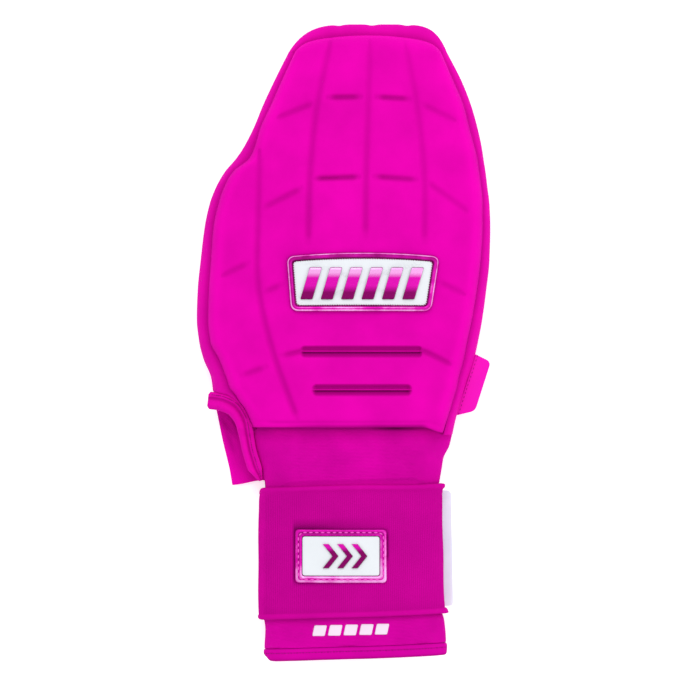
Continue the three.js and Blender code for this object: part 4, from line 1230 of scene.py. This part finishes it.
def stitch_row(name, points, length, radius, material):
    """A row of small thread stitches laid along points in millimetres."""
    bm = new_mesh()
    for here, there in zip(points[:-1], points[1:]):
        way = Vector(there - here)
        turned = way.to_track_quat("X", "Z").to_matrix().to_4x4()
        shape = Matrix.Diagonal((length / 2 * MM, radius * MM, radius * 0.8 * MM, 1))
        middle = Matrix.Translation(Vector((here + there) / 2) * MM)
        bmesh.ops.create_uvsphere(
            bm, u_segments=6, v_segments=5, radius=1, matrix=middle @ turned @ shape)
    return finished(bm, name, material)


def lifted(points, surface, rise):
    """Sets plan points a little above a surface."""
    points = np.asarray(points, float)
    return np.column_stack([points, surface(points[:, 0], points[:, 1]) + rise])


def build_stitches(thread, bright_thread):
    middle_corner = (PATCH_CORNER + PATCH_INNER_CORNER) / 2
    frame_line = rounded(inset(patch_corners(), PATCH_FRAME_WIDTH / 2), middle_corner, 12, 20)
    patch_run = lifted(evenly(closed(frame_line), 45), strap_top_at, 1.5)
    stitch_row("patch_stitches", patch_run, 2.2, 0.42, bright_thread)

    u = np.linspace(0.03, 0.97, 46)
    x, y, z = binding_point(u, np.full_like(u, -0.66), np.full_like(u, 0.68))
    stitch_row("binding_stitches", np.stack([x, y, z], 1), 1.5, 0.3, thread)

    turn = turn_at(np.linspace(0, 1, 131))
    x, y, z = cuff_point(turn, CUFF_END + CLEARANCE + 2.3, 0.55)
    hem_run = np.stack([x, y, np.maximum(z, 0.3)], 1)
    stitch_row("hem_stitches", hem_run, 1.25, 0.26, thread)

    run = evenly(label_seam(5) + (1.3, 0), 16)
    heights = np.full((16, 1), label_height() + LABEL_THICKNESS + 0.05)
    stitch_row("label_stitches", np.hstack([run, heights]), 1.3, 0.2, thread)


def build_print(white):
    for i, middle in enumerate(PRINT_MIDDLES):
        x, y = middle - PRINT_WIDTH / 2, PRINT_Y - PRINT_HEIGHT / 2 + PRINT_SLOPE * (middle - 3)
        bar = rounded(slanted_bar(x, y, PRINT_WIDTH, PRINT_HEIGHT, PRINT_LEAN), 0.8, 6, 10)
        bm = disc_piece(bar, higher(cuff_top_at, 0.24), higher(cuff_top_at, -0.12), 14, 0.1)
        finished(bm, f"cuff_stripe_{i + 1}", white)


STUDIO_LIGHT = 1.25


def screen(red, green, blue):
    """The surface colour that looks like a screen's, 0 to 255, under the studio's light."""
    share = np.array([red, green, blue]) / 255
    light = np.where(share <= 0.04045, share / 12.92, ((share + 0.055) / 1.055) ** 2.4)
    return tuple(float(part) for part in light / STUDIO_LIGHT)


def new_group(name, inputs, outputs):
    """An empty shader node group with named sockets."""
    group = bpy.data.node_groups.new(name, "ShaderNodeTree")
    for label, kind, value in inputs:
        socket = group.interface.new_socket(name=label, in_out="INPUT", socket_type=kind)
        if value is not None:
            socket.default_value = value
    for label, kind in outputs:
        group.interface.new_socket(name=label, in_out="OUTPUT", socket_type=kind)
    return group, group.nodes.new("NodeGroupInput"), group.nodes.new("NodeGroupOutput")


def math_node(nodes, links, operation, first, second=None, clamp=False):
    """A Math node fed by sockets or numbers; gives its output."""
    node = nodes.new("ShaderNodeMath")
    node.operation = operation
    node.use_clamp = clamp
    for socket, value in zip(node.inputs, (first, second)):
        if isinstance(value, bpy.types.NodeSocket):
            links.new(value, socket)
        elif value is not None:
            socket.default_value = value
    return node.outputs[0]


def weave_group():
    """Threads over and under each other: a height from 0 to 1 over a place in thread counts."""
    group, given, made = new_group(
        "thread_weave",
        [("Place", "NodeSocketVector", None), ("Across", "NodeSocketFloat", 900.0),
         ("Along", "NodeSocketFloat", 900.0), ("Unevenness", "NodeSocketFloat", 0.3)],
        [("Height", "NodeSocketFloat"), ("Shade", "NodeSocketFloat")])
    nodes, links = group.nodes, group.links
    noise = nodes.new("ShaderNodeTexNoise")
    noise.inputs["Scale"].default_value = 260
    noise.inputs["Detail"].default_value = 3
    links.new(given.outputs["Place"], noise.inputs["Vector"])
    wobble = math_node(nodes, links, "MULTIPLY", noise.outputs[0], given.outputs["Unevenness"])
    apart = nodes.new("ShaderNodeSeparateXYZ")
    links.new(given.outputs["Place"], apart.inputs[0])
    waves = []
    for axis, rate in ((0, "Across"), (1, "Along")):
        turns = math_node(nodes, links, "MULTIPLY", apart.outputs[axis], given.outputs[rate])
        turns = math_node(nodes, links, "ADD", turns, wobble)
        angle = math_node(nodes, links, "MULTIPLY", turns, 2 * math.pi)
        waves.append(math_node(nodes, links, "SINE", angle))
    crossed = math_node(nodes, links, "MULTIPLY", waves[0], waves[1])
    height = math_node(nodes, links, "MULTIPLY_ADD", crossed, 0.5)
    height.node.inputs[2].default_value = 0.5
    links.new(height, made.inputs["Height"])
    shade = math_node(nodes, links, "ADD", height, noise.outputs[0])
    shade = math_node(nodes, links, "MULTIPLY", shade, 0.5, clamp=True)
    links.new(shade, made.inputs["Shade"])
    return group


def knit_group():
    """Columns of small V-shaped loops: a height from 0 to 1 over a place in loops."""
    group, given, made = new_group(
        "knit_loops",
        [("Place", "NodeSocketVector", None), ("Columns", "NodeSocketFloat", 240.0),
         ("Rows", "NodeSocketFloat", 160.0)],
        [("Height", "NodeSocketFloat")])
    nodes, links = group.nodes, group.links
    apart = nodes.new("ShaderNodeSeparateXYZ")
    links.new(given.outputs["Place"], apart.inputs[0])
    column = math_node(nodes, links, "MULTIPLY", apart.outputs[0], given.outputs["Columns"])
    row = math_node(nodes, links, "MULTIPLY", apart.outputs[1], given.outputs["Rows"])
    lean = math_node(nodes, links, "PINGPONG", column, 0.5)
    row = math_node(nodes, links, "ADD", row, lean)
    loop = math_node(nodes, links, "PINGPONG", row, 0.5)
    rib = math_node(nodes, links, "SINE", math_node(nodes, links, "MULTIPLY", column, 2 * math.pi))
    rib = math_node(nodes, links, "ABSOLUTE", rib)
    height = math_node(nodes, links, "MULTIPLY", loop, rib)
    height = math_node(nodes, links, "MULTIPLY", height, 2, clamp=True)
    links.new(height, made.inputs["Height"])
    return group


def mottle_group():
    """Broad patches and fine grain from 0 to 1: uneven dye and handling marks, and on the film slow
    bands of painted reflection.
    """
    group, given, made = new_group(
        "mottle",
        [("Place", "NodeSocketVector", None), ("Patch Size", "NodeSocketFloat", 45.0),
         ("Grain Size", "NodeSocketFloat", 1400.0)],
        [("Patches", "NodeSocketFloat"), ("Grain", "NodeSocketFloat")])
    nodes, links = group.nodes, group.links
    for label, rate, detail in (("Patches", "Patch Size", 3), ("Grain", "Grain Size", 2)):
        noise = nodes.new("ShaderNodeTexNoise")
        noise.inputs["Detail"].default_value = detail
        links.new(given.outputs["Place"], noise.inputs["Vector"])
        links.new(given.outputs[rate], noise.inputs["Scale"])
        spread = nodes.new("ShaderNodeMapRange")
        spread.inputs["From Min"].default_value = 0.3
        spread.inputs["From Max"].default_value = 0.7
        links.new(noise.outputs[0], spread.inputs["Value"])
        links.new(spread.outputs[0], made.inputs[label])
    return group


def shared_group(name, maker):
    return bpy.data.node_groups.get(name) or maker()


def start_material(name):
    material = bpy.data.materials.new(name)
    material.use_nodes = True
    nodes, links = material.node_tree.nodes, material.node_tree.links
    nodes.clear()
    shader = nodes.new("ShaderNodeBsdfPrincipled")
    output = nodes.new("ShaderNodeOutputMaterial")
    links.new(shader.outputs[0], output.inputs[0])
    return material, nodes, links, shader


def mixed(nodes, links, factor, first, second):
    """A colour between two, each a socket or a colour."""
    node = nodes.new("ShaderNodeMix")
    node.data_type = "RGBA"
    links.new(factor, node.inputs[0])
    for socket, value in ((node.inputs[6], first), (node.inputs[7], second)):
        if isinstance(value, bpy.types.NodeSocket):
            links.new(value, socket)
        else:
            socket.default_value = (*value, 1)
    return node.outputs[2]


def marked(nodes, links, **sizes):
    """The piece's coordinates, and the mottle on them with its own sizes where given."""
    place = nodes.new("ShaderNodeTexCoord")
    marks = nodes.new("ShaderNodeGroup")
    marks.node_tree = shared_group("mottle", mottle_group)
    for label, value in sizes.items():
        marks.inputs[label.replace("_", " ").title()].default_value = value
    links.new(place.outputs["Object"], marks.inputs["Place"])
    return place, marks


def ramped(nodes, links, level, stops):
    """A colour along stops of position and colour, the first at 0, taken at a level."""
    ramp = nodes.new("ShaderNodeValToRGB")
    elements = ramp.color_ramp.elements
    (_, first), *middle, (last_at, last) = stops
    elements[0].color = (*first, 1)
    elements[1].position, elements[1].color = last_at, (*last, 1)
    for position, colour in middle:
        elements.new(position).color = (*colour, 1)
    links.new(level, ramp.inputs[0])
    return ramp.outputs[0]


def spread_roughness(nodes, links, shader, grain, low, high):
    """Roughness from low to high with the grain."""
    rough = nodes.new("ShaderNodeMapRange")
    rough.inputs["To Min"].default_value = low
    rough.inputs["To Max"].default_value = high
    links.new(grain, rough.inputs["Value"])
    links.new(rough.outputs[0], shader.inputs["Roughness"])


def tinted(colour, share):
    """A colour made darker or brighter by a share, up to full."""
    return tuple(min(part * share, 1) for part in colour)


def painted_shade_mask(nodes):
    # Reads each vertex's painted shade level, below 0 a painted highlight
    attribute = nodes.new("ShaderNodeAttribute")
    attribute.attribute_name = "fold"
    return attribute.outputs["Fac"]


def bumped(nodes, links, shader, height, distance, strength):
    bump = nodes.new("ShaderNodeBump")
    bump.inputs["Strength"].default_value = strength
    bump.inputs["Distance"].default_value = distance
    links.new(height, bump.inputs["Height"])
    links.new(bump.outputs[0], shader.inputs["Normal"])


def cloth(name, colour, shade_colour, pattern, counts, uv=False, spread=0.05, depth=0.2):
    """Woven or knitted cloth; its shade colour is painted shade in seams and pressed lines, and a
    brighter tint is painted highlight on crests.
    """
    material, nodes, links, shader = start_material(name)
    place, marks = marked(nodes, links)
    texture = nodes.new("ShaderNodeGroup")
    texture.node_tree = shared_group(*pattern)
    links.new(place.outputs["UV" if uv else "Object"], texture.inputs["Place"])
    texture.inputs[1].default_value, texture.inputs[2].default_value = counts
    height = texture.outputs["Height"]
    threads = math_node(nodes, links, "MULTIPLY", height, 1.6 * spread, clamp=True)
    painted_highlight = math_node(nodes, links, "MULTIPLY", painted_shade_mask(nodes), -1, clamp=True)
    shade_depth = math_node(nodes, links, "SUBTRACT", painted_shade_mask(nodes), 1, clamp=True)
    final = tinted(colour, 1 - 2 * spread)
    # Mottled dye and threads, then painted shade, painted highlight and deeper painted shade
    for factor, toward in (
        (marks.outputs["Patches"], tinted(colour, 1 + spread)),
        (threads, tinted(colour, 0.55)),
        (painted_shade_mask(nodes), shade_colour),
        (painted_highlight, tinted(colour, 1.12)),
        (shade_depth, tinted(shade_colour, 0.15)),
    ):
        final = mixed(nodes, links, factor, final, toward)
    links.new(final, shader.inputs["Base Color"])
    spread_roughness(nodes, links, shader, marks.outputs["Grain"], 0.77, 0.93)
    grain = math_node(nodes, links, "MULTIPLY", marks.outputs["Grain"], 0.35)
    bumped(nodes, links, shader, math_node(nodes, links, "ADD", height, grain), 0.0002, depth)
    shader.inputs["Specular IOR Level"].default_value = 0.03
    return material


def film(name, bright, colour, dark, metallic, roughness):
    """Metallised film with painted reflections: painted highlights on its crests, painted shade in
    its folds, and slow painted bands along it.
    """
    material, nodes, links, shader = start_material(name)
    _, marks = marked(nodes, links, patch_size=130)
    # Slow bands of painted reflection from the mottle's patches
    light_swing = math_node(nodes, links, "MULTIPLY_ADD", marks.outputs["Patches"], 0.35)
    light_swing.node.inputs[2].default_value = -0.12
    level = math_node(nodes, links, "ADD", painted_shade_mask(nodes), light_swing, clamp=True)
    shown = ramped(nodes, links, level, ((0, bright), (0.3, colour), (0.85, dark)))
    links.new(shown, shader.inputs["Base Color"])
    shader.inputs["Metallic"].default_value = metallic
    shader.inputs["Specular IOR Level"].default_value = 0.08
    spread_roughness(nodes, links, shader, marks.outputs["Grain"], roughness, roughness + 0.12)
    bumped(nodes, links, shader, marks.outputs["Patches"], 0.0003, 0.25)
    return material


def motif_film(name, bright, colour, dark, low, high):
    """Chromed stripes with a painted reflection: their colour falls from pale at the top to deep at
    the foot.
    """
    material, nodes, links, shader = start_material(name)
    place, marks = marked(nodes, links)
    apart = nodes.new("ShaderNodeSeparateXYZ")
    links.new(place.outputs["Object"], apart.inputs[0])
    level = nodes.new("ShaderNodeMapRange")
    level.inputs["From Min"].default_value = low * MM
    level.inputs["From Max"].default_value = high * MM
    links.new(apart.outputs[1], level.inputs["Value"])
    stops = ((0, dark), (0.20, dark), (0.42, colour), (0.68, colour), (0.84, bright), (1, bright))
    shown = ramped(nodes, links, level.outputs[0], stops)
    # Painted shade on the stripes' edges
    edged = mixed(nodes, links, painted_shade_mask(nodes), shown, tinted(dark, 0.5))
    links.new(edged, shader.inputs["Base Color"])
    spread_roughness(nodes, links, shader, marks.outputs["Grain"], 0.18, 0.32)
    shader.inputs["Metallic"].default_value = 0.3
    shader.inputs["Specular IOR Level"].default_value = 0.08
    return material


def smooth_film(name, colour, edge_shade_colour, roughness, specular=0.1):
    """Plain plastic film with faint grain and painted shade on the edge that its shade level marks.
    """
    material, nodes, links, shader = start_material(name)
    _, marks = marked(nodes, links, grain_size=2600)
    dyed = mixed(nodes, links, marks.outputs["Patches"], tinted(colour, 0.95), colour)
    # Painted shade on the marked edge
    final = mixed(nodes, links, painted_shade_mask(nodes), dyed, edge_shade_colour)
    links.new(final, shader.inputs["Base Color"])
    spread_roughness(nodes, links, shader, marks.outputs["Grain"], roughness, roughness + 0.15)
    bumped(nodes, links, shader, marks.outputs["Grain"], 0.0001, 0.15)
    shader.inputs["Specular IOR Level"].default_value = specular
    return material


WEAVE = ("thread_weave", weave_group)
KNIT = ("knit_loops", knit_group)

# How far up the plan, in millimetres, the painted reflection on the two chromed finishes changes
# from dark to bright
STRIPE_SPAN = (23, 39)
CHEVRON_SPAN = (-117, -104)


def finish_named(name, colours):
    """The finish of that name, made once from the panel's colours."""
    found = bpy.data.materials.get(name)
    if found:
        return found
    tone = {key: tuple(getattr(colours, key)) for key in MittColours.__annotations__}
    bright, chrome, dark = tone["film_bright"], tone["film"], tone["film_dark"]
    finishes = {
        "pad_cloth": (cloth, tone["pad"], tone["fold"], WEAVE, (1500, 1500), dict(depth=0.18)),
        "rim_cloth": (cloth, tone["rim"], tone["fold"], WEAVE, (1300, 1300), dict(depth=0.25)),
        "palm_cloth": (cloth, tone["palm"], tone["fold"], WEAVE, (700, 700), dict(depth=0.5)),
        "cuff_knit_cloth": (
            cloth, tone["cuff"], tone["fold"], KNIT, (300, 150),
            dict(uv=True, spread=0.075, depth=0.9)),
        "hem_cloth": (cloth, tone["hem"], tone["fold"], KNIT, (300, 24), dict(uv=True, depth=0.4)),
        "elastic_cloth": (
            cloth, tone["strap"], tone["strap_fold"], WEAVE, (400, 1100), dict(depth=0.5)),
        "hook_plastic": (
            cloth, tone["tab"], tinted(tone["tab"], 0.6), WEAVE, (900, 900),
            dict(spread=0.03, depth=0.8)),
        "label_plastic": (smooth_film, tone["label"], tone["fold"], 0.45, {}),
        "thread": (smooth_film, tone["thread"], tone["fold"], 0.6, {}),
        "bright_thread": (smooth_film, tone["bright_thread"], tone["fold"], 0.5, {}),
        "border_film": (film, bright, chrome, dark, 0.35, 0.22, {}),
        "stripe_film": (motif_film, bright, chrome, dark, *STRIPE_SPAN, {}),
        "chevron_film": (motif_film, chrome, dark, dark, *CHEVRON_SPAN, {}),
        "white_plastic": (smooth_film, tone["white"], tinted(tone["white"], 0.75), 0.4, {}),
        "print_white": (
            smooth_film, tone["print_white"], tone["print_white"], 0.6, dict(specular=0.05)),
    }
    maker, *values, options = finishes[name]
    return maker(name, *values, **options)


def colour_property(name, description, red, green, blue):
    return bpy.props.FloatVectorProperty(
        name=name, description=description, default=screen(red, green, blue), size=3, min=0, max=1,
        subtype="COLOR")


class MittColours(bpy.types.PropertyGroup):
    """Colours of the mitt's cloths and films."""

    pad: colour_property("Padded Back", "Colour of the moulded cloth over the foam", 238, 1, 181)
    rim: colour_property("Rim", "Colour of the rim and the binding", 236, 5, 178)
    palm: colour_property("Palm", "Colour of the palm layer", 248, 2, 188)
    cuff: colour_property("Cuff", "Colour of the knitted cuff", 238, 2, 181)
    hem: colour_property("Hem", "Colour of the cuff's turned hem", 224, 2, 172)
    strap: colour_property("Strap", "Colour of the ribbed elastic", 216, 2, 162)
    # Painted shade between the ribs
    strap_fold: colour_property("Strap Grooves", "Colour between the ribs", 176, 2, 132)
    # Painted shade in seams, pressed lines and under other parts
    fold: colour_property("Folds", "Colour down in seams and pressed lines", 176, 0, 132)
    tab: colour_property("Tab", "Colour of the hook tape", 258, 264, 282)
    label: colour_property("Label", "Colour of the side label", 252, 1, 198)
    white: colour_property("Badge Face", "Colour of the badge and patch faces", 243, 248, 253)
    print_white: colour_property("Cuff Print", "Colour of the stripes on the cuff", 255, 236, 255)
    thread: colour_property("Thread", "Colour of the plain stitches", 172, 0, 130)
    bright_thread: colour_property("Border Thread", "Colour of the border's stitches", 255, 90, 214)
    film_bright: colour_property("Film Highlights", "Colour on the film's crests", 255, 176, 244)
    film: colour_property("Film", "Colour of the metallised film", 232, 16, 186)
    # Painted shade in the film's folds
    film_dark: colour_property("Film Folds", "Colour in the film's folds", 138, 0, 100)


class MittSizes(bpy.types.PropertyGroup):
    """Sizes of the mitt's soft parts and of its studio."""

    pad_fill: bpy.props.FloatProperty(
        name="Pad Fill", description="How full the padded back is", default=0.8, min=0, max=1,
        subtype="FACTOR")
    camera_height: bpy.props.FloatProperty(
        name="Camera Height", description="Height of the camera over the table", default=2.52,
        unit="LENGTH")
    view_width: bpy.props.FloatProperty(
        name="View Width", description="Width of what the camera sees", default=0.364,
        unit="LENGTH")
    key_power: bpy.props.FloatProperty(
        name="Key Light", description="Power of the large light beyond the fingers", default=10.1,
        unit="POWER")
    sky_strength: bpy.props.FloatProperty(
        name="Room Light", description="Brightness of the even light all round", default=0.92)


def finishes_of(context):
    """A function that gives a finish by its name, in the panel's colours."""
    return lambda name: finish_named(name, context.scene.mitt_colours)


# The camera's place over the plan, and the level at which its view has the panel's width
CAMERA_PLAN = (0.0029, -0.0036)
VIEW_LEVEL = 0.02
CAMERA_SENSOR = 36
TABLE_REACH = 6

# Each light's name, place, size in metres and share of the key light's power
LIGHTS = (
    ("key_light", (-0.10, 1.1, 1.5), 1.0, 0.95),
    ("fill_light", (1.1, -0.2, 1.4), 1.2, 0.62),
)


def add_table(scene):
    bm = bmesh.new()
    bmesh.ops.create_grid(bm, x_segments=1, y_segments=1, size=TABLE_REACH)
    mesh = bpy.data.meshes.new("table_top")
    bm.to_mesh(mesh)
    bm.free()
    top = bpy.data.objects.new("table_top", mesh)
    scene.collection.objects.link(top)
    material, _, _, shader = start_material("table_white")
    for label, value in (
        ("Base Color", (0.8, 0.8, 0.8, 1)), ("Roughness", 0.9), ("Specular IOR Level", 0.05),
        ("Emission Color", (1, 1, 1, 1)), ("Emission Strength", 0.5),
    ):
        shader.inputs[label].default_value = value
    mesh.materials.append(material)


def add_camera(scene, sizes):
    camera = bpy.data.objects.new("camera", bpy.data.cameras.new("camera"))
    camera.location = (*CAMERA_PLAN, sizes.camera_height)
    camera.data.sensor_width = CAMERA_SENSOR
    camera.data.lens = CAMERA_SENSOR * (sizes.camera_height - VIEW_LEVEL) / sizes.view_width
    camera.data.clip_start = 0.01
    scene.collection.objects.link(camera)
    scene.camera = camera


def add_lights(scene, sizes):
    for name, place, size, share in LIGHTS:
        light = bpy.data.objects.new(name, bpy.data.lights.new(name, "AREA"))
        light.data.shape = "DISK"
        light.data.size = size
        light.data.energy = sizes.key_power * share
        light.location = place
        light.rotation_mode = "QUATERNION"
        light.rotation_quaternion = (-Vector(place)).to_track_quat("-Z", "Y")
        scene.collection.objects.link(light)
    world = bpy.data.worlds.new("studio")
    world.use_nodes = True
    background = world.node_tree.nodes["Background"]
    background.inputs[0].default_value = (1, 1, 1, 1)
    background.inputs[1].default_value = sizes.sky_strength
    scene.world = world


class MITT_OT_stage(bpy.types.Operator):
    """Sets the table, the camera and the studio light"""

    bl_idname = "mitt.stage"
    bl_label = "Table, Camera and Light"

    def execute(self, context):
        scene = context.scene
        add_table(scene)
        add_camera(scene, scene.mitt_sizes)
        add_lights(scene, scene.mitt_sizes)
        scene.view_settings.view_transform = "Standard"
        return {"FINISHED"}


class MITT_OT_pad(bpy.types.Operator):
    """Builds the padded back with its pressed grooves and slots"""

    bl_idname = "mitt.pad"
    bl_label = "Padded Back"

    def execute(self, context):
        build_pad(finishes_of(context)("pad_cloth"))
        return {"FINISHED"}


class MITT_OT_rim(bpy.types.Operator):
    """Builds the rim round the hand and the binding of the thumb-side opening"""

    bl_idname = "mitt.rim"
    bl_label = "Rim and Binding"

    def execute(self, context):
        finish = finishes_of(context)
        rim = build_rim(finish("rim_cloth"))
        binding = build_binding(finish("rim_cloth"))
        return {"FINISHED"}


class MITT_OT_palm(bpy.types.Operator):
    """Builds the palm layer"""

    bl_idname = "mitt.palm"
    bl_label = "Palm Layer"

    def execute(self, context):
        finish = finishes_of(context)
        palm = build_palm(finish("palm_cloth"))
        return {"FINISHED"}


class MITT_OT_cuff(bpy.types.Operator):
    """Builds the knitted cuff, its turned hem and the stripes printed on it"""

    bl_idname = "mitt.cuff"
    bl_label = "Cuff and Hem"

    def execute(self, context):
        finish = finishes_of(context)
        cuff = build_cuff(finish("cuff_knit_cloth"))
        hem = build_hem(finish("hem_cloth"))
        build_print(finish("print_white"))
        return {"FINISHED"}


class MITT_OT_strap(bpy.types.Operator):
    """Builds the ribbed elastic strap and its hook tab"""

    bl_idname = "mitt.strap"
    bl_label = "Strap and Tab"

    def execute(self, context):
        finish = finishes_of(context)
        strap = build_strap(finish("elastic_cloth"))
        tab = build_tab(finish("hook_plastic"))
        return {"FINISHED"}


class MITT_OT_badge(bpy.types.Operator):
    """Builds the badge on the padded back"""

    bl_idname = "mitt.badge"
    bl_label = "Back Badge"

    def execute(self, context):
        finish = finishes_of(context)
        build_badge(finish("border_film"), finish("white_plastic"), finish("stripe_film"))
        return {"FINISHED"}


class MITT_OT_patch(bpy.types.Operator):
    """Builds the patch on the strap"""

    bl_idname = "mitt.patch"
    bl_label = "Strap Patch"

    def execute(self, context):
        finish = finishes_of(context)
        build_patch(finish("border_film"), finish("white_plastic"), finish("chevron_film"))
        return {"FINISHED"}


class MITT_OT_label(bpy.types.Operator):
    """Builds the film label at the little finger's side"""

    bl_idname = "mitt.label"
    bl_label = "Side Label"

    def execute(self, context):
        finish = finishes_of(context)
        build_label(finish("label_plastic"))
        return {"FINISHED"}


class MITT_OT_stitches(bpy.types.Operator):
    """Sews the rows of stitches"""

    bl_idname = "mitt.stitches"
    bl_label = "Stitches"

    def execute(self, context):
        finish = finishes_of(context)
        build_stitches(finish("thread"), finish("bright_thread"))
        return {"FINISHED"}


STEPS = (
    MITT_OT_stage, MITT_OT_pad, MITT_OT_rim, MITT_OT_palm, MITT_OT_cuff, MITT_OT_strap,
    MITT_OT_badge, MITT_OT_patch, MITT_OT_label, MITT_OT_stitches,
)


class MITT_PT_pieces(bpy.types.Panel):
    """Lists the mitt's pieces, sizes and colours"""

    bl_idname = "MITT_PT_pieces"
    bl_label = "Sliding Mitt"
    bl_space_type = "VIEW_3D"
    bl_region_type = "UI"
    bl_category = "Mitt"

    def draw(self, context):
        layout = self.layout
        for step in STEPS:
            layout.operator(step.bl_idname)
        for group in (context.scene.mitt_sizes, context.scene.mitt_colours):
            for name in type(group).__annotations__:
                layout.prop(group, name)


CLASSES = (MittColours, MittSizes, *STEPS, MITT_PT_pieces)


def register():
    for entry in CLASSES:
        bpy.utils.register_class(entry)
    bpy.types.Scene.mitt_colours = bpy.props.PointerProperty(type=MittColours)
    bpy.types.Scene.mitt_sizes = bpy.props.PointerProperty(type=MittSizes)


def unregister():
    del bpy.types.Scene.mitt_sizes
    del bpy.types.Scene.mitt_colours
    for entry in reversed(CLASSES):
        bpy.utils.unregister_class(entry)


def main():
    register()
    for step in STEPS:
        getattr(bpy.ops.mitt, step.bl_idname.removeprefix("mitt."))()


if __name__ == "__main__":
    main()
